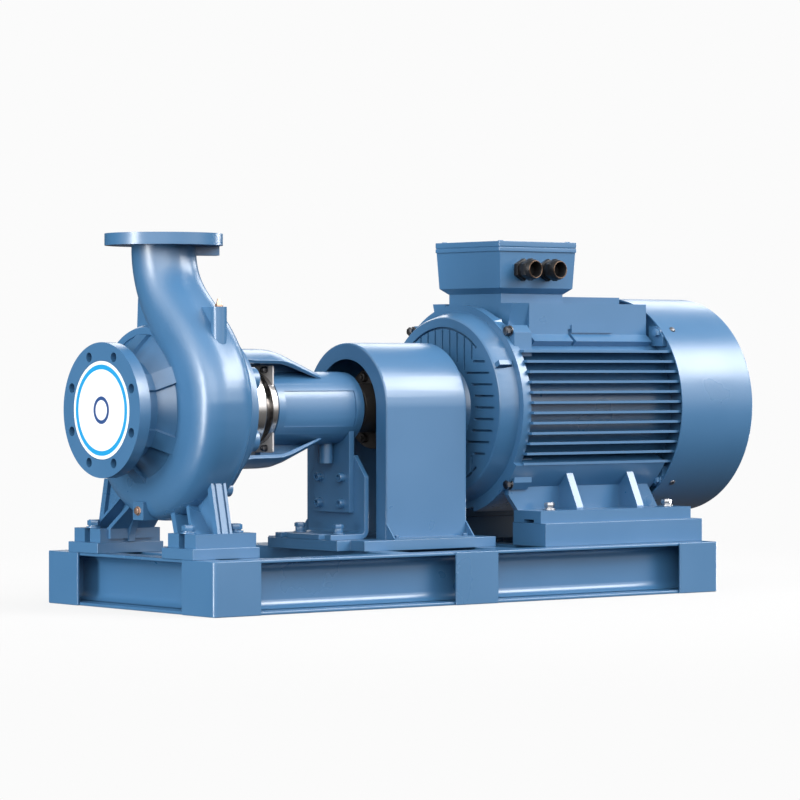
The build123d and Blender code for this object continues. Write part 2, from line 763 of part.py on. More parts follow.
def make_support_bracket():
    bottom = coupling_plate_top
    outline = [(support_x - support_foot_length, bottom), (support_x, bottom), (support_x, bottom + support_height),
               (support_x - support_sheet, bottom + support_height),
               (support_x - support_sheet, bottom + support_sheet),
               (support_x - support_foot_length, bottom + support_sheet)]
    sheet = plate_in_xz(outline, -support_width / 2, support_width)
    along_y = sheet.edges().filter_by(Axis.Y)
    outer_bend = [e for e in along_y if abs(e.center().X - support_x) < 1 and abs(e.center().Z - bottom) < 1]
    inner_bend = [e for e in along_y if abs(e.center().X - support_x + support_sheet) < 1
                  and abs(e.center().Z - bottom - support_sheet) < 1]
    sheet = fillet(inner_bend, support_bend_radius - support_sheet)
    outer_bend = [e for e in sheet.edges().filter_by(Axis.Y)
                  if abs(e.center().X - support_x) < 1 and abs(e.center().Z - bottom) < 1]
    sheet = fillet(outer_bend, support_bend_radius)
    for side in (-1, 1):
        corner = [(side * support_width / 2, bottom + support_shoulder_height),
                  (side * support_width / 2, bottom + support_height),
                  (side * support_top_width / 2, bottom + support_height)]
        sheet -= plate_in_yz(corner, support_x - support_sheet, support_sheet)
        slot = block((support_x - support_foot_length, support_x - support_foot_length + support_slot_length),
                     (side * support_slot_y - pump_bolt_slot / 2, side * support_slot_y + pump_bolt_slot / 2),
                     (bottom, bottom + support_sheet))
        sheet -= slot
        # Upright slots that let the foot plate be set to height
        screw_y = side * support_screw_y
        sheet -= block((support_x - support_sheet, support_x),
                       (screw_y - support_screw_radius, screw_y + support_screw_radius),
                       (min(support_screw_heights) - support_adjustment,
                        max(support_screw_heights) + support_adjustment))
    return sheet


save(make_support_foot_plate(), "support_foot_plate")
save(make_support_bracket(), "support_bracket")

# Coupling guard: arched sheet with open ends and flared feet
guard_x0 = along(guard_front_from_suction)
guard_x1 = guard_x0 + guard_length


def arch(radius, x_start, x_end):
    legs = block((x_start, x_end), (-radius, radius), (coupling_plate_top, shaft_z))
    return round_bar(radius, x_start, x_end) + legs


def make_guard():
    guard = arch(guard_outer_radius, guard_x0, guard_x1)
    rims = [e for e in guard.edges() if abs(e.center().X - guard_x0) < 0.1 or abs(e.center().X - guard_x1) < 0.1]
    guard = fillet([e for e in rims if e.center().Z > coupling_plate_top + 1], guard_edge_radius)
    guard -= arch(guard_outer_radius - guard_sheet, guard_x0 + guard_sheet, guard_x1 - guard_sheet)
    guard -= arch(guard_opening_radius, guard_x0, guard_x1)
    for side in (-1, 1):
        y_wall = side * (guard_outer_radius - 1)
        y_toe = side * (guard_outer_radius + guard_flare)
        flare = [(y_wall, coupling_plate_top), (y_toe, coupling_plate_top),
                 (y_wall, coupling_plate_top + guard_flare_height + 1)]
        for x in (guard_x0, guard_x1 - guard_sheet):
            guard += plate_in_yz(flare, x, guard_sheet)
        guard += block((guard_x0, guard_x1), sorted((y_wall, y_toe)),
                       (coupling_plate_top, coupling_plate_top + guard_sheet))
    return guard


save(make_guard(), "coupling_guard")

# Shaft line: pump shaft with slinger, two coupling halves with a rubber disc, motor shaft, fan
pump_shaft_end = bearing_bracket_end_from_suction + pump_shaft_stub
motor_shaft_start = motor_face_from_suction - motor_shaft_stub
coupling_middle = (pump_shaft_end + motor_shaft_start) / 2


def coupling_half(direction, bore_radius):
    face = along(coupling_middle) + direction * coupling_gap / 2
    flange_end = face + direction * coupling_flange_thickness
    hub_tip = face + direction * coupling_hub_length
    half = round_bar(coupling_flange_radius, *sorted((face, flange_end)))
    half += round_bar(coupling_hub_radius, *sorted((face, hub_tip)))
    return half - round_bar(bore_radius + keyed_clearance, *sorted((face, hub_tip)))


def make_pump_shaft():
    shaft = round_bar(pump_shaft_radius, along(hub_end + 2), along(pump_shaft_end))
    gap_middle = (seal_end + housing_start - bearing_cap_thickness) / 2
    half_slinger = slinger_thickness / 2
    return shaft + round_bar(slinger_radius, along(gap_middle - half_slinger), along(gap_middle + half_slinger))


save(make_pump_shaft(), "pump_shaft")
save(coupling_half(-1, pump_shaft_radius), "coupling_half_pump")
save(coupling_half(1, motor_shaft_radius), "coupling_half_motor")
save(round_bar(coupling_flange_radius - 12, along(coupling_middle) - coupling_gap / 2,
               along(coupling_middle) + coupling_gap / 2), "coupling_rubber_disc")

# Motor: shaft, shields, finned frame, feet
deck_height = motor_core_radius + deck_margin
rail_top_height = motor_frame_radius - rail_step
tie_bolt_reach = motor_frame_radius * math.sqrt(0.5)
rear_shield_end = motor_frame_end_from_suction + rear_shield_thickness
motor_bore_radius = motor_shaft_radius + running_clearance
fan_bore_radius = fan_shaft_radius + running_clearance
fan_start = rear_shield_end + fan_clearance


def make_motor_shaft():
    shaft = round_bar(motor_shaft_radius, along(motor_shaft_start), along(rear_shield_end - 6))
    return shaft + round_bar(fan_shaft_radius, along(rear_shield_end - 6), along(fan_start + fan_hub_length))


def make_drive_end_shield():
    face, back = motor_face_from_suction, motor_frame_from_suction
    profile = [(face - 10, 0), (face - 10, shield_hub_radius), (face, shield_hub_radius + 6),
               (face, shield_face_radius - 3), (face + 3, shield_face_radius), (back, shield_rim_radius), (back, 0)]
    shield = turned([(along(x), r) for x, r in profile])
    # Ribbed ring: straight grooves, upright above and below, level at both sides
    grooves = []
    count = int(shield_groove_radius / shield_groove_pitch)
    for index in range(-count, count + 1):
        offset = index * shield_groove_pitch
        outer = math.sqrt(shield_groove_radius ** 2 - offset ** 2)
        inner = max(abs(offset), math.sqrt(max(0, (shield_hub_radius + 14) ** 2 - offset ** 2))) + 4
        if outer - inner > 6:
            for turn in (0, 90, 180, 270):
                groove = block((along(face) - 1, along(face + shield_groove_depth)),
                               (offset - shield_groove_width / 2, offset + shield_groove_width / 2),
                               (inner, outer))
                grooves.append(Pos(0, 0, shaft_z) * Rot(turn, 0, 0) * groove)
    for middle in (0, 180):
        grooves.append(frame_sector(shield_groove_radius - shield_groove_width, shield_groove_radius,
                                    face - 1, face + shield_groove_depth, middle - 42, middle + 42))
    # Raised lip on the rim at both sides, with a saw line under it
    lip_start, line_start, lip_end = shield_lip_angles
    for side in (-1, 1):
        shield += frame_sector(shield_face_radius, shield_rim_radius + shield_lip, face + shield_lip,
                               back - 2, *sorted((side * lip_start, side * line_start)))
        grooves.append(frame_sector(shield_face_radius - 2, shield_rim_radius + 2 * shield_lip, face - 1,
                                    back - 2, *sorted((side * line_start, side * (line_start + 1)))))
    shield -= grooves
    return shield - round_bar(motor_bore_radius, along(face - 10), along(back))


def frame_sector(radius_in, radius_out, x_start, x_end, first_angle, last_angle):
    """Part of a ring, with angles measured from the top towards the near side."""
    outline = [(along(x_start), 0, shaft_z + radius_in), (along(x_start), 0, shaft_z + radius_out),
               (along(x_end), 0, shaft_z + radius_out), (along(x_end), 0, shaft_z + radius_in)]
    ring = revolve(make_face(Polyline(*outline, close=True)), shaft_axis, last_angle - first_angle)
    return Pos(0, 0, shaft_z) * Rot(first_angle, 0, 0) * Pos(0, 0, -shaft_z) * ring


def tie_lug(x_start, x_end, inner, side, up, clip_radius):
    """Corner lug for a tie bolt, flat above and outside, its corner turned to a radius."""
    lug = block((along(x_start), along(x_end)),
                sorted((side * inner, side * (tie_bolt_reach + tie_lug_side_margin))),
                sorted((shaft_z + up * inner, shaft_z + up * (tie_bolt_reach + tie_lug_top_margin))))
    return lug & round_bar(clip_radius, along(x_start), along(x_end))


def corner_rail(side, x_start, x_end, setback):
    """Leaning corner panel of the frame with the lip along its lower edge."""
    lip = rail_bottom - rail_lip
    lower_y = rail_inner_y + rail_width + rail_slope - setback
    outline = [(rail_inner_y, lip - 2 * rail_lip), (rail_inner_y, rail_top_height),
               (rail_inner_y + rail_width, rail_top_height), (lower_y, rail_bottom),
               (lower_y + rail_lip_width, lip), (lower_y, lip - rail_lip)]
    return plate_in_yz([(side * y, shaft_z + z) for y, z in outline], along(x_start), x_end - x_start)


def make_motor_frame():
    x0, x1 = motor_frame_from_suction, motor_frame_end_from_suction
    frame = round_bar(motor_core_radius, along(x0), along(x1))
    frame += round_bar(motor_frame_radius - motor_collar_step, along(x0), along(fin_start_from_suction))
    # Upper corner panels, deck between them, and the smooth lower corners above the feet
    notch_x0, notch_x1 = rail_notch_from_suction
    for side in (-1, 1):
        rail = corner_rail(side, rail_start_from_suction, rail_end_from_suction, 0)
        rail += corner_rail(side, rail_front_from_suction, rail_start_from_suction, rail_setback)
        # Blank raised pad low on the panel, with a notch in front of it
        pad = []
        for shift in (0, rail_pad_thickness):
            pad.append([rail_inner_y + rail_width + rail_slope * (rail_top_height - z)
                        / (rail_top_height - rail_bottom) + shift for z in rail_pad_heights])
        low, high = rail_pad_heights
        face = [(pad[0][0] - 1, low), (pad[1][0], low), (pad[1][1], high), (pad[0][1] - 1, high)]
        rail += plate_in_yz([(side * y, shaft_z + z) for y, z in face], along(notch_x1),
                            rail_pad_end_from_suction - notch_x1)
        outer_y = rail_inner_y + rail_width + rail_slope + rail_lip_width
        rail -= block((along(notch_x0), along(notch_x1)),
                      sorted((side * (outer_y - rail_lip_width - rail_notch_depth), side * outer_y)),
                      (shaft_z + rail_bottom - 2 * rail_lip, shaft_z + rail_pad_heights[0] + rail_step))
        frame += rail
        angles = sorted(side * (180 - angle) for angle in (lower_corner_start_angle, lower_corner_end_angle))
        frame += frame_sector(motor_core_radius - 4, motor_frame_radius, x0, rail_end_from_suction, *angles)
    frame += block((along(rail_front_from_suction), along(rail_end_from_suction)),
                   (-rail_inner_y - 2, rail_inner_y + 2),
                   (shaft_z + motor_core_radius / 2, shaft_z + deck_height))
    fins = []
    fin_x = along(fin_start_from_suction - 2)
    middle = (motor_fin_count - 1) / 2
    for index in range(motor_fin_count):
        level = (index - middle) * motor_fin_pitch
        tip = math.sqrt(motor_frame_radius ** 2 - level ** 2)
        root = math.sqrt(motor_core_radius ** 2 - level ** 2) - fin_root_depth
        z_range = (shaft_z + level - motor_fin_thickness / 2, shaft_z + level + motor_fin_thickness / 2)
        for side in (-1, 1):
            fins.append(block((fin_x, along(x1)), sorted((side * root, side * tip)), z_range))
    box_end = along(terminal_box_centre_from_suction + terminal_neck_side / 2)
    for index in range(top_fin_count):
        y = (index - (top_fin_count - 1) / 2) * motor_fin_pitch
        y_range = (y - motor_fin_thickness / 2, y + motor_fin_thickness / 2)
        fins.append(block((box_end, along(rail_end_from_suction)), y_range,
                          (shaft_z + deck_height - 2, shaft_z + motor_frame_radius + top_fin_margin)))
        fins.append(block((fin_x, along(x1)), y_range, (shaft_z - motor_frame_radius + top_fin_margin,
                                                        shaft_z - motor_core_radius + fin_root_depth)))
    frame += fins
    for side in (-1, 1):
        for up in (-1, 1):
            frame += tie_lug(tie_lug_from_suction, tie_lug_from_suction + tie_lug_length, tie_lug_inner,
                             side, up, motor_frame_radius + tie_lug_reach)
    return frame - round_bar(motor_bore_radius, along(x0), along(x1))


def make_rear_shield():
    x0, x1 = motor_frame_end_from_suction, rear_shield_end
    shield_radius = fan_cover_radius - fan_cover_sheet - seat_clearance
    shield = round_bar(shield_radius, along(x0), along(x1))
    for side in (-1, 1):
        for up in (-1, 1):
            lug = tie_lug(x0 - rear_lug_length, x0, rear_lug_inner, side, up, shield_radius)
            shield += lug - round_bar(motor_core_radius + seat_clearance, along(x0 - rear_lug_length), along(x0))
    return shield - round_bar(motor_bore_radius, along(x0), along(x1))


def make_motor_foot():
    """Near foot: plate, upright wall with slanted ends and two gussets up to the frame."""
    x0 = along(motor_foot_from_suction)
    x1 = x0 + motor_foot_length
    z1 = rail_top + motor_foot_thickness
    inner = -motor_foot_outer + motor_foot_width
    foot = block((x0, x1), (-motor_foot_outer, inner), (rail_top, z1))
    # The wall reaches past the plate in front and falls short of it at the rear
    front_lean, front_rise = foot_wall_front
    rear_lean, rear_rise = foot_wall_rear
    wall_top = shaft_z - foot_gusset_top[1]
    wall = [(x0, z1), (x0 + front_lean, z1 + front_rise), (x0 + front_lean, wall_top),
            (x1 + 2 * rear_lean, wall_top), (x1 + 2 * rear_lean, z1 + rear_rise), (x1 + rear_lean, z1)]
    foot += plate_in_xz(wall, -foot_wall_outer, foot_wall)
    foot += block((x0, x1 + rear_lean), (-foot_wall_outer, -foot_wall_outer + foot_wall), (rail_top, z1))
    toe_y, toe_rise = foot_gusset_toe
    top_y, top_drop = foot_gusset_top
    for position in foot_gusset_positions:
        gusset = [(-foot_wall_outer + 1, z1 - 1), (-toe_y, z1 - 1), (-toe_y, z1 + toe_rise),
                  (-top_y, shaft_z - top_drop), (-foot_wall_outer + 1, shaft_z - top_drop)]
        foot += plate_in_yz(gusset, x0 + position, foot_gusset_thickness)
    low_y, high_y = foot_pocket_y
    foot -= block((x0, x0 + foot_pocket_length), (-high_y, -low_y), (rail_top, rail_top + foot_pocket_height))
    foot -= round_bar(motor_frame_radius + 0.1, x0 + 2 * front_lean, x1)
    # Room for the tie bolt lug of the frame
    lug_x0 = along(tie_lug_from_suction)
    foot -= block((lug_x0 - seat_clearance, lug_x0 + tie_lug_length + seat_clearance),
                  (-tie_bolt_reach - tie_lug_side_margin - seat_clearance, -tie_lug_inner),
                  (shaft_z - tie_bolt_reach - tie_lug_top_margin - seat_clearance, shaft_z))
    return foot


save(make_motor_shaft(), "motor_shaft")
save(make_drive_end_shield(), "motor_drive_end_shield")
save(make_motor_frame(), "motor_frame")
save(make_rear_shield(), "motor_rear_shield")
near_foot = make_motor_foot()
save(near_foot, "motor_foot_near")
save(mirrored(near_foot), "motor_foot_far")

# Fan and fan cover with its grille
def make_fan():
    x0 = along(fan_start)
    fan = round_bar(fan_hub_radius, x0, x0 + fan_hub_length)
    fan += round_bar(fan_disc_radius, x0, x0 + fan_disc_thickness)
    half_blade = fan_blade_thickness / 2
    for index in range(fan_blade_count):
        blade = block((x0 + 1, x0 + fan_hub_length - 8), (-half_blade, half_blade), (fan_hub_radius - 4, fan_radius))
        fan += Pos(0, 0, shaft_z) * Rot(360 / fan_blade_count * index, 0, 0) * blade
    return fan - round_bar(fan_shaft_radius + keyed_clearance, x0, x0 + fan_hub_length)


def make_fan_cover():
    x0 = fan_cover_from_suction
    x1 = x0 + fan_cover_length
    r, t, c = fan_cover_radius, fan_cover_sheet, fan_cover_corner
    lip = c * (1 - math.sqrt(0.5))
    outer = [(x0, r), (x1 - c, r), (x1 - lip, r - lip), (x1, r - c)]
    inner = [(x1 - t, 0), (x1 - t, r - c), (x1 - lip - t * 0.7, r - lip - t * 0.7), (x1 - c, r - t), (x0, r - t)]
    cover = turned([(along(x), radius) for x, radius in outer + [(x1, 0)] + inner])
    slots = []
    for ring in range(grille_ring_count):
        inner_radius = grille_first_radius + ring * grille_pitch
        tube = round_bar(inner_radius + grille_slot, along(x1 - t) - 1, along(x1) + 1)
        slots.append(tube - round_bar(inner_radius, along(x1 - t) - 1, along(x1) + 1))
    spokes = [Pos(0, 0, shaft_z) * Rot(45 * turn, 0, 0)
              * block((along(x1 - t) - 2, along(x1) + 2), (-grille_spoke / 2, grille_spoke / 2), (-r, r))
              for turn in range(4)]
    for spoke in spokes:
        slots = [slot - spoke for slot in slots]
    return cover - slots


save(make_fan(), "cooling_fan")
save(make_fan_cover(), "fan_cover")

# Terminal box: neck, tapered body, lid and two cable glands
box_x = along(terminal_box_centre_from_suction)
lid_top = shaft_z + terminal_top_height
lid_bottom = lid_top - terminal_lid_thickness
box_bottom = lid_bottom - terminal_box_height
box_side = terminal_lid_side - 2 * terminal_lid_overhang


def square_frustum(lower_side, upper_side, z_low, z_high):
    lower = Plane((box_x, 0, z_low)) * Rectangle(lower_side, lower_side)
    upper = Plane((box_x, 0, z_high)) * Rectangle(upper_side, upper_side)
    return loft([lower, upper])


def make_terminal_box():
    low_side = box_side - 2 * terminal_box_taper
    box = square_frustum(low_side, box_side, box_bottom, lid_bottom)
    box += square_frustum(terminal_neck_side + 2, low_side, box_bottom - terminal_bevel, box_bottom)
    neck = terminal_neck_side / 2
    box += block((box_x - neck, box_x + neck), (-neck, neck), (shaft_z + deck_height, box_bottom - terminal_bevel))
    return box


def make_gland(x):
    """Gland on the near wall of the box: hexagon nut at the wall, then the round cap with its hole."""
    z = lid_bottom - gland_drop
    lying = Pos(x, -box_side / 2 + terminal_box_taper, z) * Rot(90, 0, 0)
    low = (Align.CENTER, Align.CENTER, Align.MIN)
    gland = extrude(RegularPolygon(gland_nut_radius, 6), gland_nut_length)
    gland += Cylinder(gland_waist_radius, gland_length, align=low)
    gland += Pos(0, 0, gland_length - gland_cap_length) * Cylinder(gland_cap_radius, gland_cap_length, align=low)
    mouth = Pos(0, 0, gland_length - gland_mouth_depth) * Cylinder(gland_hole_radius, gland_mouth_depth, align=low)
    return lying * (gland - mouth) - terminal_box


def lid_layer(inset, z_low, z_high):
    side = terminal_lid_side - 2 * inset
    layer = Pos(box_x, 0, z_low) * Box(side, side, z_high - z_low, align=(Align.CENTER, Align.CENTER, Align.MIN))
    return fillet(layer.edges().filter_by(Axis.Z), terminal_lid_corner - inset)


terminal_box = make_terminal_box()
save(terminal_box, "terminal_box")
groove_z = lid_bottom + terminal_lid_groove_height
lid = lid_layer(0, lid_bottom, groove_z)
lid += lid_layer(terminal_lid_groove, groove_z, groove_z + terminal_lid_groove)
lid += lid_layer(0, groove_z + terminal_lid_groove, lid_top)
save(lid, "terminal_box_lid")
save(Compound([make_gland(box_x + offset) for offset in gland_offsets]), "cable_glands")
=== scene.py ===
import math
from itertools import product

import bmesh
import bpy
from mathutils import Matrix, Vector


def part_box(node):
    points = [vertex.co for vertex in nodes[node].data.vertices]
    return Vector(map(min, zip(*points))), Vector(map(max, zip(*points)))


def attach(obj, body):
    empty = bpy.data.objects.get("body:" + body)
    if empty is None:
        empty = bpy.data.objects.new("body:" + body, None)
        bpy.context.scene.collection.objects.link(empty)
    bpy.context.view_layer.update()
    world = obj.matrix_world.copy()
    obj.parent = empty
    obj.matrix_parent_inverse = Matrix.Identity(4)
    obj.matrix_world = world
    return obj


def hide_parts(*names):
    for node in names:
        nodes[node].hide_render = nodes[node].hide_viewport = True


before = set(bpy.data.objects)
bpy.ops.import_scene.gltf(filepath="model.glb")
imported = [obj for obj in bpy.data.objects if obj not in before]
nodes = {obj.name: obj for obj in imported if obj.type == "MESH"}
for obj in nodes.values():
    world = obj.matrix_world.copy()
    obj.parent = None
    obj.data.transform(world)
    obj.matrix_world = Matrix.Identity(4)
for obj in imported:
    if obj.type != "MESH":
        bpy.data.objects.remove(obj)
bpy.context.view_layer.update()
scene = bpy.context.scene


# Base frame. Four rolled channels stand with their open sides outwards, four more cross between
# them, and bent plates close the corners and the middle. All of it is welded steel under one coat
# of semi-gloss blue enamel, thin and even, with its cut edges dulled by the paint.
def skin_group():
    """Slow change of tone, slow change of gloss and fine grain, all from the place on the piece."""
    cloud_scale, cloud_detail, grain_detail, roughness_swing = 7, 4, 3, 0.04
    group = bpy.data.node_groups.new("skin", "ShaderNodeTree")
    sockets = group.interface.new_socket
    sockets("Colour", in_out="INPUT", socket_type="NodeSocketColor")
    for name in ("Shade", "Grain", "Dullness"):
        sockets(name, in_out="INPUT", socket_type="NodeSocketFloat")
    sockets("Colour", in_out="OUTPUT", socket_type="NodeSocketColor")
    for name in ("Roughness", "Height"):
        sockets(name, in_out="OUTPUT", socket_type="NodeSocketFloat")
    new, link = group.nodes.new, group.links.new
    given, result = new("NodeGroupInput"), new("NodeGroupOutput")
    place = new("ShaderNodeTexCoord")
    cloud = new("ShaderNodeTexNoise")
    cloud.inputs["Scale"].default_value = cloud_scale
    cloud.inputs["Detail"].default_value = cloud_detail
    link(place.outputs["Object"], cloud.inputs["Vector"])
    spread = new("ShaderNodeMapRange")
    spread.interpolation_type = "SMOOTHERSTEP"
    for socket, value in (("From Min", 0.1), ("From Max", 0.9), ("To Min", -1), ("To Max", 1)):
        spread.inputs[socket].default_value = value
    link(cloud.outputs["Fac"], spread.inputs["Value"])
    amount = new("ShaderNodeMath")
    amount.operation = "MULTIPLY_ADD"
    amount.inputs[2].default_value = 1
    link(spread.outputs["Result"], amount.inputs[0])
    link(given.outputs["Shade"], amount.inputs[1])
    tint = new("ShaderNodeHueSaturation")
    link(amount.outputs[0], tint.inputs["Value"])
    link(given.outputs["Colour"], tint.inputs["Color"])
    link(tint.outputs["Color"], result.inputs["Colour"])
    grain = new("ShaderNodeTexNoise")
    grain.inputs["Detail"].default_value = grain_detail
    link(place.outputs["Object"], grain.inputs["Vector"])
    link(given.outputs["Grain"], grain.inputs["Scale"])
    link(grain.outputs["Fac"], result.inputs["Height"])
    dull = new("ShaderNodeMath")
    dull.operation = "MULTIPLY_ADD"
    dull.inputs[1].default_value = roughness_swing
    link(spread.outputs["Result"], dull.inputs[0])
    link(given.outputs["Dullness"], dull.inputs[2])
    link(dull.outputs[0], result.inputs["Roughness"])
    return group


skin = skin_group()


def finish(name, colour, roughness, grain, depth, shade, metal=0.0, specular=1.0):
    """Material with the shared skin: colour and its shade, roughness, scale and depth of grain."""
    material = bpy.data.materials.new(name)
    material.use_nodes = True
    tree = material.node_tree
    shader = tree.nodes["Principled BSDF"]
    layer = tree.nodes.new("ShaderNodeGroup")
    layer.node_tree = skin
    for socket, value in (("Colour", (*colour, 1)), ("Shade", shade), ("Grain", grain),
                          ("Dullness", roughness)):
        layer.inputs[socket].default_value = value
    bump = tree.nodes.new("ShaderNodeBump")
    bump.inputs["Distance"].default_value = depth
    bump.inputs["Strength"].default_value = 1
    tree.links.new(layer.outputs["Colour"], shader.inputs["Base Color"])
    tree.links.new(layer.outputs["Roughness"], shader.inputs["Roughness"])
    tree.links.new(layer.outputs["Height"], bump.inputs["Height"])
    tree.links.new(bump.outputs["Normal"], shader.inputs["Normal"])
    shader.inputs["Metallic"].default_value = metal
    shader.inputs["Specular IOR Level"].default_value = specular
    return material


ENAMEL_BLUE = (0.045, 0.140, 0.278)
MERGE_WITHIN = 0.00002
sheet_enamel = finish("blue_enamel_on_sheet", ENAMEL_BLUE, roughness=0.30, grain=500, depth=0.00001,
                      shade=0.03)


def break_edges(piece, width, segments):
    """Small round on every sharp edge, as paint and handling leave it."""
    bevel = piece.modifiers.new("broken_edges", "BEVEL")
    bevel.width = width
    bevel.segments = segments
    bevel.limit_method = "ANGLE"
    bevel.angle_limit = math.radians(28)


def dress(piece, material, edge, segments=2):
    """Paint on a piece, given as an object or by its node's name, with its sharp edges broken."""
    piece = nodes[piece] if isinstance(piece, str) else piece
    piece.data.materials.clear()
    piece.data.materials.append(material)
    for face in piece.data.polygons:
        face.use_smooth = True
    weld = piece.modifiers.new("weld", "WELD")
    weld.merge_threshold = MERGE_WITHIN
    flat = piece.modifiers.new("flat_faces", "DECIMATE")
    flat.decimate_type = "DISSOLVE"
    flat.angle_limit = math.radians(0.6)
    break_edges(piece, edge, segments)
    normals = piece.modifiers.new("normals", "WEIGHTED_NORMAL")
    normals.keep_sharp = True


for node in nodes:
    if node.startswith("base_"):
        dress(node, sheet_enamel, 0.0015)


# Rolled roots of the outer channels. Where web and flange meet, the rolls leave a round hollow. It
# is part of the bar, runs its whole length above and below, and is painted with it.
def place_object(name, mesh):
    """Object in the scene with a finished mesh."""
    data = bpy.data.meshes.new(name)
    mesh.to_mesh(data)
    mesh.free()
    placed = bpy.data.objects.new(name, data)
    scene.collection.objects.link(placed)
    return placed


def settle(name, mesh, material, body="frame", crease=32):
    """New piece that rides on a body: normals outwards, edges over the crease angle sharp."""
    bmesh.ops.recalc_face_normals(mesh, faces=mesh.faces)
    for face in mesh.faces:
        face.smooth = True
    for edge in mesh.edges:
        edge.smooth = edge.calc_face_angle(0) < math.radians(crease)
    piece = place_object(name, mesh)
    piece.data.materials.append(material)
    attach(piece, body)
    return piece


def draw_out(mesh, faces, way):
    """Faces extruded straight along a way."""
    drawn = bmesh.ops.extrude_face_region(mesh, geom=faces)["geom"]
    verts = [part for part in drawn if isinstance(part, bmesh.types.BMVert)]
    bmesh.ops.translate(mesh, vec=way, verts=verts)


def add_root(mesh, corner, inwards, upwards, length):
    """Hollow root: an arc turned between web and flange, closed behind and drawn along the bar."""
    radius, behind = 0.016, 0.001
    centre = corner + (inwards + upwards) * radius
    start = mesh.verts.new(centre - inwards * radius)
    earlier = set(mesh.edges)
    bmesh.ops.spin(mesh, geom=[start], cent=centre, axis=inwards.cross(upwards), steps=8,
                   angle=math.pi / 2)
    arc = [edge for edge in mesh.edges if edge not in earlier]
    hidden = mesh.verts.new(corner - (inwards + upwards) * behind)
    ends = [vert for edge in arc for vert in edge.verts if len(vert.link_edges) == 1]
    arc += [mesh.edges.new((hidden, end)) for end in ends]
    draw_out(mesh, bmesh.ops.contextual_create(mesh, geom=arc)["faces"], length)


web_thickness, flange_thickness = 0.006, 0.0085
channel_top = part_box("base_channel_near")[1].z
mesh = bmesh.new()
for end, open_side in (("near", (0, -1, 0)), ("far", (0, 1, 0)), ("front", (-1, 0, 0)),
                       ("rear", (1, 0, 0))):
    low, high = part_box("base_channel_" + end)
    out = Vector(open_side)
    back = Vector((low.x if out.x >= 0 else high.x, low.y if out.y >= 0 else high.y, 0))
    along_bar = Vector((high.x - low.x, 0, 0)) if out.y else Vector((0, high.y - low.y, 0))
    for height, upwards in ((flange_thickness, 1), (channel_top - flange_thickness, -1)):
        corner = back + out * web_thickness + Vector((0, 0, height))
        add_root(mesh, corner, out, Vector((0, 0, upwards)), along_bar)
settle("channel_roots", mesh, sheet_enamel)

# Pads, rails and coupling plate. Flat bars are welded on top of the channels and milled in one
# setting, so that pump and motor stand in line; they are painted with the base.
bar_enamel = finish("blue_enamel_on_milled_bar", ENAMEL_BLUE, roughness=0.32, grain=420,
                    depth=0.00002, shade=0.03)
for node in ("pump_foot_pad_near", "pump_foot_pad_far", "coupling_base_plate", "motor_rail_near",
             "motor_rail_far"):
    dress(node, bar_enamel, 0.001)

# Volute casing. One sand casting in grey iron: the spiral, its swan neck, both flanges and the two
# feet. The enamel lies over a slightly pebbled skin. Each foot is held down by two hexagon bolts
# through its open slots.
cast_enamel = finish("blue_enamel_on_castings", ENAMEL_BLUE, roughness=0.30, grain=260,
                     depth=0.00002, shade=0.03)
dress("volute_casing", cast_enamel, 0.0018, 3)
MM = 0.001
UP, TO_SUCTION, TO_MOTOR = (0, 0, 1), (-1, 0, 0), (1, 0, 0)
SIDES = (-1, 1)
suction_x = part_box("volute_casing")[0][0]
shaft_z = (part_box("pump_shaft")[0][2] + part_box("pump_shaft")[1][2]) / 2
plate_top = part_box("coupling_base_plate")[1][2]


def on_floor_plan(from_suction, y, height):
    """Place in millimetres from suction flange and shaft, at a height in metres off the floor."""
    return Vector((suction_x + from_suction * MM, y * MM, height))


def at(from_suction, y, z):
    """Place from millimetres behind the suction flange, out from the shaft and up from it."""
    return on_floor_plan(from_suction, y, shaft_z + z * MM)


def seat_on(place, direction):
    """Matrix that stands a part made along +Z on a face, pointing out of it."""
    turn = Vector(direction).to_track_quat("Z", "Y").to_matrix().to_4x4()
    return Matrix.Translation(place) @ turn


def once(parts):
    """Parts in the order in which they first come, each one once."""
    return list(dict.fromkeys(parts))


def add_bar(mesh, seat, low, high, radius, sides=32, edge=0.0005):
    """Round or hexagonal bar along the axis of its seat, with both rims broken."""
    middle = Matrix.Translation((0, 0, (low + high) / 2))
    made = bmesh.ops.create_cone(mesh, cap_ends=True, segments=sides, radius1=radius,
                                 radius2=radius, depth=high - low, matrix=seat @ middle)
    rims = once(rim for vert in made["verts"] for rim in vert.link_edges
                if any(len(face.verts) == sides for face in rim.link_faces))
    bmesh.ops.bevel(mesh, geom=rims, offset=edge, offset_type="OFFSET", segments=2, profile=0.5,
                    affect="EDGES", material=-1, clamp_overlap=True)


def corner_radius(across):
    """Radius to the corners of a hexagon of a width across its flats."""
    return across / math.sqrt(3)


def add_hex_bolt(mesh, place, direction, across, head, washer_radius, washer=0.003, stud=0.0):
    """Hexagon head on a spring washer and a flat washer, or a nut with its stud end showing."""
    seat = seat_on(place, direction)
    spring_washer, flats_share = 0.0025, 0.86
    head_foot = washer + spring_washer
    flats_end = head_foot + head * flats_share
    head_end = head_foot + head
    add_bar(mesh, seat, 0, washer, washer_radius)
    add_bar(mesh, seat, washer, head_foot, across * 0.47)
    add_bar(mesh, seat, head_foot, flats_end, corner_radius(across), 6, 0.0004)
    add_bar(mesh, seat, flats_end, head_end, across * 0.46, edge=0.0006)
    if stud:
        add_bar(mesh, seat, head_end, head_end + stud, across * 0.3, 20, 0.0008)


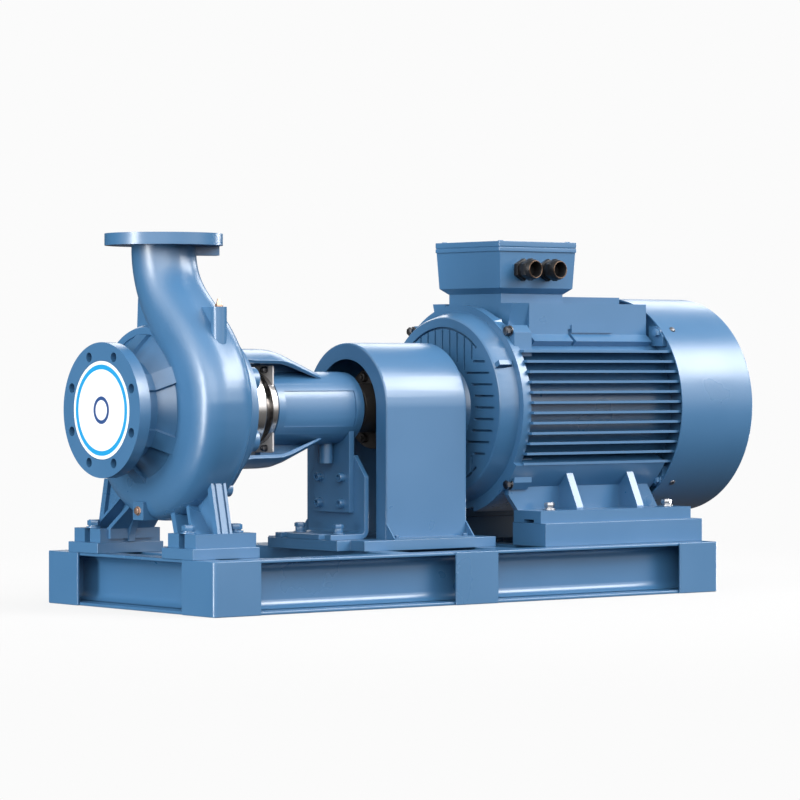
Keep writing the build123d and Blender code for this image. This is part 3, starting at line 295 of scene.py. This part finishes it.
bolt_enamel = finish("blue_enamel_on_bolts", ENAMEL_BLUE, roughness=0.28, grain=900, depth=0.00001,
                     shade=0.03)
pump_foot_top = plate_top + 0.026
slot_rows, slot_side = (87, 193), 153.5
mesh = bmesh.new()
for side, row in product(SIDES, slot_rows):
    place = on_floor_plan(row, side * slot_side, pump_foot_top)
    add_hex_bolt(mesh, place, UP, across=0.022, head=0.0105, washer_radius=0.0145)
settle("pump_foot_bolts", mesh, bolt_enamel)


# Suction cover. A thin white plastic disc is pressed into the suction flange for transport. It
# carries a plain ring near its rim and one round its middle, printed in two blues.
def radius_from_shaft(tree):
    """Socket with the distance of each point from the line of the shaft."""
    place = tree.nodes.new("ShaderNodeTexCoord")
    across = tree.nodes.new("ShaderNodeMapping")
    across.inputs["Scale"].default_value = (0, 1, 1)
    across.inputs["Location"].default_value = (0, 0, -shaft_z)
    radius = tree.nodes.new("ShaderNodeVectorMath")
    radius.operation = "LENGTH"
    tree.links.new(place.outputs["Object"], across.inputs["Vector"])
    tree.links.new(across.outputs["Vector"], radius.inputs[0])
    return radius.outputs["Value"]


def ringed_plastic():
    """White plastic with its printed rings, each a middle radius, half its width and its ink."""
    rings = ((0.0795, 0.0045, (0.01, 0.30, 0.62, 1)), (0.0220, 0.0035, (0.02, 0.07, 0.22, 1)))
    material = finish("white_plastic_with_blue_rings", (0.86, 0.87, 0.89), roughness=0.30, grain=60,
                      depth=0.00001, shade=0.01)
    tree = material.node_tree
    base = tree.nodes["Principled BSDF"].inputs["Base Color"]
    radius = radius_from_shaft(tree)
    for middle, half_width, ink in rings:
        band = tree.nodes.new("ShaderNodeMath")
        band.operation = "COMPARE"
        band.inputs[1].default_value = middle
        band.inputs[2].default_value = half_width
        tree.links.new(radius, band.inputs[0])
        print_on = tree.nodes.new("ShaderNodeMix")
        print_on.data_type = "RGBA"
        print_on.inputs["B"].default_value = ink
        tree.links.new(band.outputs[0], print_on.inputs["Factor"])
        tree.links.new(base.links[0].from_socket, print_on.inputs["A"])
        tree.links.new(print_on.outputs["Result"], base)
    return material


dress("suction_cover", ringed_plastic(), 0.0005)

# Vent plug and drain plug. The vent on its boss beside the neck has a hexagon foot and a tapered
# nose; the drain low on the front of the volute is a plain hexagon plug. Both are bare brass.
brass = finish("dull_bare_brass", (0.62, 0.41, 0.30), roughness=0.34, grain=700, depth=0.00001,
               shade=0.06, metal=0.9, specular=0.5)
vent_length, nose_start, nose_length = 0.015, 0.004, 0.011
plug_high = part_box("casing_plugs")[1]
mesh = bmesh.new()
vent = seat_on(on_floor_plan(137, -179, plug_high.z - vent_length), UP)
add_bar(mesh, vent, -0.002, 0.005, 0.0075, 6)
nose = vent @ Matrix.Translation((0, 0, nose_start + nose_length / 2))
bmesh.ops.create_cone(mesh, cap_ends=True, segments=28, radius1=0.0056, radius2=0.0028,
                      depth=nose_length, matrix=nose)
drain = seat_on(at(82, 0, -187), TO_SUCTION)
add_bar(mesh, drain, -0.001, 0.0015, 0.0088, 28)
add_bar(mesh, drain, 0.0015, 0.0050, 0.0074, 6)
plugs = settle("vent_and_drain_plugs", mesh, brass)
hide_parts("casing_plugs")


# Casing cover. An iron cover closes the back of the volute and carries the bearing bracket; nuts on
# studs hold it at the rim. On its neck sits the seal cover, a ring of bare turned steel.
def merged_copy(node):
    """Copy of a node's mesh with its doubled points merged, to be shaped further."""
    mesh = bmesh.new()
    mesh.from_mesh(nodes[node].data)
    mesh.transform(nodes[node].matrix_world)
    bmesh.ops.remove_doubles(mesh, verts=mesh.verts, dist=MERGE_WITHIN)
    return mesh


def settle_copy(node, name, mesh):
    """Piece made from a copy of a node's mesh, shown in the node's place."""
    piece = place_object(name, mesh)
    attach(piece, "frame")
    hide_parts(node)
    return piece


boss_end, boss_cut, boss_from_shaft, same_face = suction_x + 0.286, 0.011, 0.07, 0.0004
mesh = merged_copy("casing_cover")
for vert in mesh.verts:
    if abs(vert.co.x - boss_end) < same_face and abs(vert.co.y) > boss_from_shaft:
        vert.co.x -= boss_cut
dress(settle_copy("casing_cover", "casing_cover_casting", mesh), cast_enamel, 0.0015, 3)
turned_steel = finish("bare_turned_steel", (0.62, 0.60, 0.59), roughness=0.20, grain=900,
                      depth=0.00001, shade=0.05, metal=1.0, specular=0.5)
dress("seal_cover", turned_steel, 0.001)
dark_steel = finish("oiled_steel_nuts", (0.16, 0.16, 0.17), roughness=0.32, grain=900,
                    depth=0.00001, shade=0.08, metal=1.0, specular=0.5)
nut_circle, nut_turn, cover_face = 157, math.radians(22.5), 230
mesh = bmesh.new()
for side, up in product(SIDES, SIDES):
    place = at(cover_face, side * nut_circle * math.sin(nut_turn),
               up * nut_circle * math.cos(nut_turn))
    add_hex_bolt(mesh, place, TO_MOTOR, across=0.019, head=0.010, washer_radius=0.0105,
                 washer=0.0025, stud=0.006)
settle("casing_cover_nuts", mesh, dark_steel)


# Bearing bracket. One casting: a ring on the casing cover, two curved arms that leave windows at
# the sides, a rib under each arm, and the housing of the shaft bearings with a cap at each end. The
# cap on the pump side and its plate across the arms are bare; two nuts above and below hold them.
def add_turned(mesh, profile, first, sweep, steps):
    """Solid swept about the shaft from a profile of (from suction, radius) points in metres."""
    turn = Matrix.Rotation(first, 3, "X")
    points = [mesh.verts.new(Vector((suction_x + x, 0, shaft_z)) + turn @ Vector((0, 0, radius)))
              for x, radius in profile]
    whole = sweep == math.tau
    outline = [mesh.edges.new(pair) for pair in zip(points, points[1:] + points[:1])]
    section = [] if whole else bmesh.ops.contextual_create(mesh, geom=outline)["faces"]
    bmesh.ops.spin(mesh, geom=points + outline + section, cent=(0, 0, shaft_z), axis=(1, 0, 0),
                   angle=sweep, steps=steps, use_merge=whole)


# Outside the housing the solid's flat arms are cut away, and the curved arms take their place.
casting = settle_copy("bearing_bracket", "bearing_bracket_casting", merged_copy("bearing_bracket"))
cut_start, cut_end, cut_inside, cut_outside = 0.262, 0.500, 0.0702, 0.160
mesh = bmesh.new()
add_turned(mesh, ((cut_start, cut_inside), (cut_start, cut_outside), (cut_end, cut_outside),
                  (cut_end, cut_inside)), 0, math.tau, 64)
bmesh.ops.remove_doubles(mesh, verts=mesh.verts, dist=0.00001)
bmesh.ops.recalc_face_normals(mesh, faces=mesh.faces)
cutter = place_object("arm_cutter", mesh)
cut = casting.modifiers.new("cut_arms", "BOOLEAN")
cut.operation = "DIFFERENCE"
cut.solver = "EXACT"
cut.object = cutter
bpy.context.view_layer.update()
shown_casting = casting.evaluated_get(bpy.context.evaluated_depsgraph_get())
shaped = bpy.data.meshes.new_from_object(shown_casting)
casting.modifiers.clear()
casting.data = shaped
bpy.data.objects.remove(cutter)
dress(casting, cast_enamel, 0.0012, 3)

arm_half_angle = math.radians(36)
arm_outside = ((0.254, 0.121), (0.268, 0.118), (0.302, 0.114), (0.350, 0.1135), (0.371, 0.112),
               (0.392, 0.106), (0.479, 0.0712))
arm_inside = ((0.474, 0.0680), (0.388, 0.0985), (0.366, 0.1045), (0.302, 0.1055), (0.254, 0.106))
rib_outline = ((0.3565, 0.060), (0.3565, 0.110), (0.390, 0.103), (0.476, 0.0690), (0.476, 0.060))
rib_half_width = 0.009
mesh = bmesh.new()
for middle in (0, math.pi):
    add_turned(mesh, arm_outside + arm_inside, middle - arm_half_angle, 2 * arm_half_angle, 14)
for up in SIDES:
    rib = [mesh.verts.new(Vector((suction_x + x, -rib_half_width, shaft_z + up * radius)))
           for x, radius in rib_outline]
    draw_out(mesh, [mesh.faces.new(rib)], (0, 2 * rib_half_width, 0))
arms = settle("bearing_bracket_arms", mesh, cast_enamel, crease=25)
break_edges(arms, 0.0015, 3)


def cap_steel():
    """Turned steel on the cap, and the duller skin of rolled plate outside its rim."""
    cap_rim, plate_roughness, plate_metal = 0.0685, 0.55, 0.15
    material = finish("bare_steel_cap_and_plate", (0.52, 0.50, 0.49), roughness=0.24, grain=900,
                      depth=0.00001, shade=0.05, metal=1.0, specular=0.5)
    tree = material.node_tree
    outside = tree.nodes.new("ShaderNodeMath")
    outside.operation = "GREATER_THAN"
    outside.inputs[1].default_value = cap_rim
    tree.links.new(radius_from_shaft(tree), outside.inputs[0])
    shader = tree.nodes["Principled BSDF"]
    for socket, plate in ((shader.inputs["Roughness"], plate_roughness),
                          (shader.inputs["Metallic"], plate_metal)):
        swap = tree.nodes.new("ShaderNodeMix")
        swap.inputs["A"].default_value = socket.default_value
        swap.inputs["B"].default_value = plate
        if socket.is_linked:
            tree.links.new(socket.links[0].from_socket, swap.inputs["A"])
        tree.links.new(outside.outputs[0], swap.inputs["Factor"])
        tree.links.new(swap.outputs["Result"], socket)
    return material


dress("bearing_cap_coupling_side", cast_enamel, 0.001)
dress("bearing_cap_pump_side", cap_steel(), 0.0008)
plate_face, plate_nut_side, plate_nut_height = 353, 32, 74
mesh = bmesh.new()
for up, side in product(SIDES, SIDES):
    add_hex_bolt(mesh, at(plate_face, side * plate_nut_side, up * plate_nut_height), TO_SUCTION,
                 across=0.010, head=0.007, washer_radius=0.0065, washer=0.0015, stud=0.002)
settle("bearing_cap_nuts", mesh, dark_steel)


def add_socket_screw(mesh, place, direction, radius, head):
    """Round screw head with its rim broken and a socket sunk in the top."""
    seat = seat_on(place, direction)
    middle = Matrix.Translation((0, 0, head / 2))
    made = bmesh.ops.create_cone(mesh, cap_ends=True, segments=24, radius1=radius, radius2=radius,
                                 depth=head, matrix=seat @ middle)
    far = seat @ Vector((0, 0, head))
    tops = once(face for vert in made["verts"] for face in vert.link_faces
                if (face.calc_center_median() - far).length < radius * 0.1)
    rim, land, socket_wall = (0.12, 0.12 * radius), (0.3, 0.0), (0.05, -head * 0.5)
    for share, depth in (rim, land, socket_wall):
        bmesh.ops.inset_individual(mesh, faces=tops, thickness=radius * share, depth=depth)


cap_rear = (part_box("bearing_cap_coupling_side")[1][0] - suction_x) / MM
cap_screw_circle = 58
mesh = bmesh.new()
for index in range(4):
    turn = math.radians(45 + 90 * index)
    place = at(cap_rear, cap_screw_circle * math.cos(turn), cap_screw_circle * math.sin(turn))
    add_socket_screw(mesh, place, TO_MOTOR, 0.005, 0.005)
settle("bearing_cap_screws", mesh, bolt_enamel)

# Bearing support. A foot plate under the housing is screwed to a bent sheet, whose slots let it be
# set to height; the sheet is bolted to the coupling plate through two open slots.
for node in ("support_foot_plate", "support_bracket"):
    dress(node, sheet_enamel, 0.001)
foot_plate_face = (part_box("support_foot_plate")[0][0] - suction_x) / MM
screw_sides, screw_heights, screw_washer = (-35, 35), (0.187, 0.237), 0.0015
mesh = bmesh.new()
for y, height in product(screw_sides, screw_heights):
    place = on_floor_plan(foot_plate_face, y, height)
    add_bar(mesh, seat_on(place, TO_SUCTION), 0, screw_washer, 0.0105)
    add_socket_screw(mesh, place - Vector((screw_washer, 0, 0)), TO_SUCTION, 0.0086, 0.009)
settle("support_plate_screws", mesh, bolt_enamel)
foot_thickness = 0.010
washer_end, sleeve_end, hexagon_end, thread_end = 0.002, 0.011, 0.018, 0.019
mesh = bmesh.new()
for side in SIDES:
    seat = seat_on(on_floor_plan(503, side * 60, plate_top + foot_thickness), UP)
    add_bar(mesh, seat, 0, washer_end, 0.0125)
    add_bar(mesh, seat, washer_end, sleeve_end, 0.009)
    add_bar(mesh, seat, sleeve_end, hexagon_end, corner_radius(0.019), 6, 0.0004)
    add_bar(mesh, seat, hexagon_end, thread_end, 0.0088)
settle("support_foot_bolts", mesh, bolt_enamel)

# Coupling guard. A rolled and welded sheet arch covers the coupling, and its turned-out feet are
# screwed to the coupling plate at the four corners.
dress("coupling_guard", sheet_enamel, 0.0006)
guard_low, guard_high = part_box("coupling_guard")
from_end, from_side, guard_sheet = 0.016, 0.013, 0.003
mesh = bmesh.new()
for x, side in product((guard_low.x + from_end, guard_high.x - from_end), SIDES):
    seat = seat_on((x, side * (guard_high.y - from_side), plate_top + guard_sheet), UP)
    add_bar(mesh, seat, 0, 0.0012, 0.0065)
    add_bar(mesh, seat, 0.0012, 0.005, 0.0056, 6, 0.0003)
settle("guard_foot_screws", mesh, bolt_enamel)

# Rotor. Two ground steel shafts meet in a pin coupling of dark iron, with a rubber disc between the
# halves and eight pins with nuts through both flanges.
ground_steel = finish("ground_shaft_steel", (0.60, 0.58, 0.56), roughness=0.25, grain=600,
                      depth=0.00001, shade=0.05, metal=1.0, specular=0.5)
coupling_iron = finish("dark_oiled_iron", (0.050, 0.045, 0.042), roughness=0.45, grain=300,
                       depth=0.00004, shade=0.1, metal=0.3)
rubber = finish("black_rubber", (0.02, 0.02, 0.02), roughness=0.7, grain=500, depth=0.00003,
                shade=0.05)
for node in ("pump_shaft", "motor_shaft"):
    dress(node, ground_steel, 0.0008)
for node in ("coupling_half_pump", "coupling_half_motor"):
    dress(node, coupling_iron, 0.0015)
dress("coupling_rubber_disc", rubber, 0.0005)
pin_count, pin_circle, flange_thickness_mm = 8, 64, 26
pump_flange_face = (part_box("coupling_half_pump")[1][0] - suction_x) / MM - flange_thickness_mm
motor_flange_face = (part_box("coupling_half_motor")[0][0] - suction_x) / MM + flange_thickness_mm
mesh = bmesh.new()
for index in range(pin_count):
    turn = math.tau * (index + 0.5) / pin_count
    y, z = pin_circle * math.cos(turn), pin_circle * math.sin(turn)
    for face_x, direction in ((pump_flange_face, TO_SUCTION), (motor_flange_face, TO_MOTOR)):
        seat = seat_on(at(face_x, y, z), direction)
        add_bar(mesh, seat, 0, 0.008, 0.0095, 6, 0.0004)
        add_bar(mesh, seat, 0.008, 0.012, 0.005, 16)
settle("coupling_pin_nuts", mesh, coupling_iron, "rotor")

# Motor. Finned iron frame between two shields, drawn together by tie bolts at the corners, on two
# bolted feet. The panels at its upper corners stand upright. Tie bolts and foot bolts are bare.
# The solid's panels lean in; their faces are known by how far out they stand at the foot. The bore
# is eased a little, so that its flats clear the round shaft as that turns.
panel_foot, panel_top, panel_lean, near_panel = 0.144, 0.205, 0.014, 0.0006
panel_faces = (0.123, 0.111, 0.126)
bore_radius, bore_ease = 0.0300, 0.0003
mesh = merged_copy("motor_frame")
for vert in mesh.verts:
    rise = (vert.co.z - shaft_z - panel_foot) / (panel_top - panel_foot)
    if 0 < rise < 1.01:
        leaning = abs(vert.co.y) + panel_lean * rise
        if min(abs(leaning - y) for y in panel_faces) < near_panel:
            vert.co.y += math.copysign(panel_lean * rise, vert.co.y)
for vert in mesh.verts:
    from_shaft = Vector((0, vert.co.y, vert.co.z - shaft_z))
    if bore_radius < from_shaft.length < bore_radius + bore_ease:
        vert.co += from_shaft.normalized() * bore_ease
dress(settle_copy("motor_frame", "motor_frame_casting", mesh), cast_enamel, 0.0017, 3)
for node in ("motor_drive_end_shield", "motor_rear_shield", "motor_foot_near", "motor_foot_far"):
    dress(node, cast_enamel, 0.0014)
tie_face, tie_side, tie_height = 858, 150, 150
mesh = bmesh.new()
for side, up in product(SIDES, SIDES):
    add_hex_bolt(mesh, at(tie_face, side * tie_side, up * tie_height), TO_SUCTION, across=0.0155,
                 head=0.0085, washer_radius=0.0102, washer=0.002)
settle("motor_tie_bolts", mesh, dark_steel)
rear_face, rear_side, rear_height = 1250, 150, 148
mesh = bmesh.new()
for side, up in product(SIDES, SIDES):
    add_hex_bolt(mesh, at(rear_face, side * rear_side, up * rear_height), TO_SUCTION, across=0.0145,
                 head=0.007, washer_radius=0.0095, washer=0.002)
settle("rear_shield_bolts", mesh, bolt_enamel)
bright_steel = finish("zinc_plated_bolts", (0.50, 0.50, 0.51), roughness=0.26, grain=900,
                      depth=0.00001, shade=0.05, metal=1.0, specular=0.5)
motor_foot_top, foot_bolt_side, foot_bolt_rows = 0.169, 176, (937, 1248)
mesh = bmesh.new()
for side, row in product(SIDES, foot_bolt_rows):
    place = on_floor_plan(row, side * foot_bolt_side, motor_foot_top)
    add_hex_bolt(mesh, place, UP, across=0.0185, head=0.0095, washer_radius=0.0125, washer=0.0028)
settle("motor_foot_bolts", mesh, bright_steel)

# Fan and fan cover. A pressed steel cowl with a slotted grille pushes over the rear shield and is
# held by four domed screws; the fan behind it is moulded plastic on the end of the shaft.
dress("fan_cover", sheet_enamel, 0.0006)
fan_plastic = finish("dark_fan_plastic", (0.035, 0.037, 0.04), roughness=0.5, grain=400,
                     depth=0.00002, shade=0.05)
dress("cooling_fan", fan_plastic, 0.0008)
cover_low, cover_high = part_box("fan_cover")
cover_radius = (cover_high.y - cover_low.y) / 2
screw_line, dome_radius, dome_height = 1284, 0.0065, 0.55
mesh = bmesh.new()
for side, up in product(SIDES, SIDES):
    outwards = Vector((0, side, up)).normalized()
    seat = seat_on(at(screw_line, 0, 0) + outwards * cover_radius, outwards)
    dome = bmesh.ops.create_uvsphere(mesh, u_segments=20, v_segments=12, radius=dome_radius,
                                     matrix=seat)
    bmesh.ops.scale(mesh, vec=(1, 1, dome_height), space=seat.inverted(), verts=dome["verts"])
settle("fan_cover_screws", mesh, dark_steel, crease=60)

# Terminal box. Cast box with a lid on the motor frame, its screws sunk almost flush. Two moulded
# cable glands stand on its near wall: a hexagon at the wall, a waist, a hexagon nut with an open,
# domed mouth and, round the mouth, a thin ring of dark bronze.
dress("terminal_box", cast_enamel, 0.0015, 3)
dress("terminal_box_lid", cast_enamel, 0.001)
lid_low, lid_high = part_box("terminal_box_lid")
lid_x, lid_half = (lid_low.x + lid_high.x) / 2, (lid_high.x - lid_low.x) / 2
lid_screw = lid_half - 0.014
mesh = bmesh.new()
for side, end in product(SIDES, SIDES):
    place = Vector((lid_x + end * lid_screw, side * lid_screw, lid_high.z))
    add_socket_screw(mesh, place, UP, 0.0055, 0.001)
settle("terminal_lid_screws", mesh, bolt_enamel)
gland_plastic = finish("black_gland_plastic", (0.010, 0.010, 0.011), roughness=0.42, grain=500,
                       depth=0.00002, shade=0.05, specular=0.32)
bronze = finish("dark_bronze_ring", (0.13, 0.085, 0.06), roughness=0.36, grain=900, depth=0.00001,
                shade=0.08, metal=0.9, specular=0.5)
gland_low, gland_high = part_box("cable_glands")
gland_z = (gland_low.z + gland_high.z) / 2
gland_length, gland_offsets = 0.0445, (-0.041, 0.023)
foot_end, waist_end, nut_end, nut_land = 0.012, 0.021, 0.035, 0.003
mouth_outline = ((0.0200, 0.034), (0.0200, 0.0365), (0.0192, 0.0410), (0.0176, 0.0438),
                 (0.0152, 0.0445), (0.0138, 0.0425), (0.0132, 0.0240), (0.0, 0.0240))
ring_radius, ring_height, ring_thickness = 0.0164, 0.0443, 0.0012
turned = {"axis": (0, 1, 0), "steps": 40, "angle": math.tau, "use_merge": True}
bodies, rings = bmesh.new(), bmesh.new()
for offset in gland_offsets:
    wall = Vector((lid_x + offset, gland_low.y + gland_length, gland_z))
    seat = seat_on(wall, (0, -1, 0))
    add_bar(bodies, seat, -0.002, foot_end, 0.0222, 6, 0.0012)
    add_bar(bodies, seat, foot_end, waist_end, 0.0172, 40, 0.0006)
    add_bar(bodies, seat, waist_end, nut_end, 0.0219, 6, 0.0012)
    nut_top = seat @ Vector((0, 0, nut_end))
    tops = [face for face in bodies.faces if (face.calc_center_median() - nut_top).length < 0.0005]
    bmesh.ops.inset_individual(bodies, faces=tops, thickness=nut_land, depth=0)
    bmesh.ops.delete(bodies, geom=tops, context="FACES")
    line = [bodies.verts.new(seat @ Vector((radius, 0, height)))
            for radius, height in mouth_outline]
    edges = [bodies.edges.new(pair) for pair in zip(line, line[1:])]
    bmesh.ops.spin(bodies, geom=line + edges, cent=wall, **turned)
    section = Matrix.Translation(seat @ Vector((ring_radius, 0, ring_height)))
    loop = bmesh.ops.create_circle(rings, segments=10, radius=ring_thickness, matrix=section)
    edges = once(edge for vert in loop["verts"] for edge in vert.link_edges)
    bmesh.ops.spin(rings, geom=loop["verts"] + edges, cent=wall, **turned)
bmesh.ops.remove_doubles(bodies, verts=bodies.verts, dist=0.00001)
glands = settle("gland_bodies", bodies, gland_plastic, crease=38)
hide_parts("cable_glands")
settle("gland_rings", rings, bronze, crease=60)


# Studio: a pale floor that fades into a white surround, and soft boxes far enough away that each
# shows as one even band on every round piece.
def studio_floor():
    """Matt disc under the set that fades out towards its rim, seen by the camera alone."""
    mesh = bmesh.new()
    bmesh.ops.create_circle(mesh, cap_ends=True, radius=2.4, segments=96)
    floor = place_object("studio_floor", mesh)
    material = bpy.data.materials.new("pale_floor")
    material.use_nodes = True
    tree = material.node_tree
    new, link = tree.nodes.new, tree.links.new
    shader = tree.nodes["Principled BSDF"]
    shader.inputs["Base Color"].default_value = (0.66, 0.66, 0.66, 1)
    shader.inputs["Roughness"].default_value = 1.0
    shader.inputs["Specular IOR Level"].default_value = 0.0
    place, length = new("ShaderNodeTexCoord"), new("ShaderNodeVectorMath")
    length.operation = "LENGTH"
    fade = new("ShaderNodeMapRange")
    fade.interpolation_type = "SMOOTHSTEP"
    for socket, value in (("From Min", 0.4), ("From Max", 2.3), ("To Min", 0.86), ("To Max", 1.0)):
        fade.inputs[socket].default_value = value
    clear, mix = new("ShaderNodeBsdfTransparent"), new("ShaderNodeMixShader")
    link(place.outputs["Object"], length.inputs[0])
    link(length.outputs["Value"], fade.inputs["Value"])
    link(fade.outputs["Result"], mix.inputs["Fac"])
    link(shader.outputs[0], mix.inputs[1])
    link(clear.outputs[0], mix.inputs[2])
    link(mix.outputs[0], tree.nodes["Material Output"].inputs["Surface"])
    floor.data.materials.append(material)
    floor.location.z = -0.0005
    floor.visible_glossy = False
    floor.visible_diffuse = False
    floor.visible_shadow = False


def studio_world():
    """White to the camera; for the set, a surround that is bright above and in front of it."""
    up, front, right = (0, 0, 1), (-0.625, -0.781, 0), (0.625, -0.78, 0)
    # Each part of the surround has a strength and, for some directions, the two heights on that
    # direction between which it changes from one share to another.
    parts = ((2.85, ((up, -0.1, 0.2, 0, 1), (up, 0.55, 0.9, 1, 0), (front, -0.2, 0.3, 0, 1))),
             (0.80, ((up, 0.5, 0.95, 0, 1),)),
             (0.22, ((right, 0.80, 0.98, 0, 1),)),
             (0.06, ((front, 0.70, 0.98, 0, 1),)),
             (0.14, ((up, -0.2, 0.1, 1, 0), (front, -0.2, 0.3, 1, 0))))
    world = bpy.data.worlds.new("white_surround")
    scene.world = world
    world.use_nodes = True
    tree = world.node_tree
    tree.nodes.clear()
    new, link = tree.nodes.new, tree.links.new
    place = new("ShaderNodeTexCoord")
    total = None
    for strength, limits in parts:
        part = None
        for direction, *edges in limits:
            facing = new("ShaderNodeVectorMath")
            facing.operation = "DOT_PRODUCT"
            facing.inputs[1].default_value = direction
            link(place.outputs["Generated"], facing.inputs[0])
            edge = new("ShaderNodeMapRange")
            edge.interpolation_type = "SMOOTHSTEP"
            for socket, value in zip(("From Min", "From Max", "To Min", "To Max"), edges):
                edge.inputs[socket].default_value = value
            link(facing.outputs["Value"], edge.inputs["Value"])
            if part is None:
                part = edge.outputs[0]
            else:
                both = new("ShaderNodeMath")
                both.operation = "MULTIPLY"
                link(part, both.inputs[0])
                link(edge.outputs[0], both.inputs[1])
                part = both.outputs[0]
        sum_up = new("ShaderNodeMath")
        sum_up.operation = "MULTIPLY_ADD"
        sum_up.inputs[1].default_value = strength
        sum_up.inputs[2].default_value = 0
        link(part, sum_up.inputs[0])
        if total is not None:
            link(total, sum_up.inputs[2])
        total = sum_up.outputs[0]
    lit, seen = new("ShaderNodeBackground"), new("ShaderNodeBackground")
    link(total, lit.inputs["Strength"])
    seen.inputs["Color"].default_value = (0.965, 0.965, 0.965, 1)
    path, mix = new("ShaderNodeLightPath"), new("ShaderNodeMixShader")
    link(path.outputs["Is Camera Ray"], mix.inputs["Fac"])
    link(lit.outputs[0], mix.inputs[1])
    link(seen.outputs[0], mix.inputs[2])
    link(mix.outputs[0], new("ShaderNodeOutputWorld").inputs["Surface"])


def soft_box(name, direction, size, power):
    """Even soft box that faces the middle of the set from one direction."""
    middle, distance = Vector((0, 0, 0.35)), 14.0
    light = bpy.data.lights.new(name, "AREA")
    light.shape = "RECTANGLE"
    light.size, light.size_y = size
    light.energy = power
    lamp = bpy.data.objects.new(name, light)
    away = Vector(direction).normalized()
    lamp.location = middle + away * distance
    lamp.rotation_euler = away.to_track_quat("Z", "Y").to_euler()
    scene.collection.objects.link(lamp)


studio_floor()
studio_world()
soft_box("key_box", (0.625, -0.572, 0.530), (13.0, 5.0), 1860)
soft_box("rear_box", (0.625, 0.64, 0.45), (14.0, 4.0), 730)
soft_box("left_strip", (-0.997, 0.065, 0.03), (3.2, 9.0), 1400)
soft_box("right_strip", (0.987, 0.162, 0.05), (3.0, 8.0), 950)
soft_box("front_box", (-0.75, -0.66, 0.40), (11.7, 7.0), 450)
soft_box("neck_spot", (0.34, -0.45, 0.82), (2.4, 7.0), 450)

# Camera: almost level, with a long lens, from the photo's side and distance.
camera_turn, camera_tilt_down = 38.68, 0.55
camera_data = bpy.data.cameras.new("photo_view")
camera_data.sensor_width = 36
camera_data.lens = 165.5
camera = bpy.data.objects.new("photo_view", camera_data)
camera.location = (-4.5174, -5.6150, 0.4536)
camera.rotation_euler = (math.radians(90 - camera_tilt_down), 0, math.radians(-camera_turn))
scene.collection.objects.link(camera)
scene.camera = camera
scene.view_settings.view_transform = "Standard"
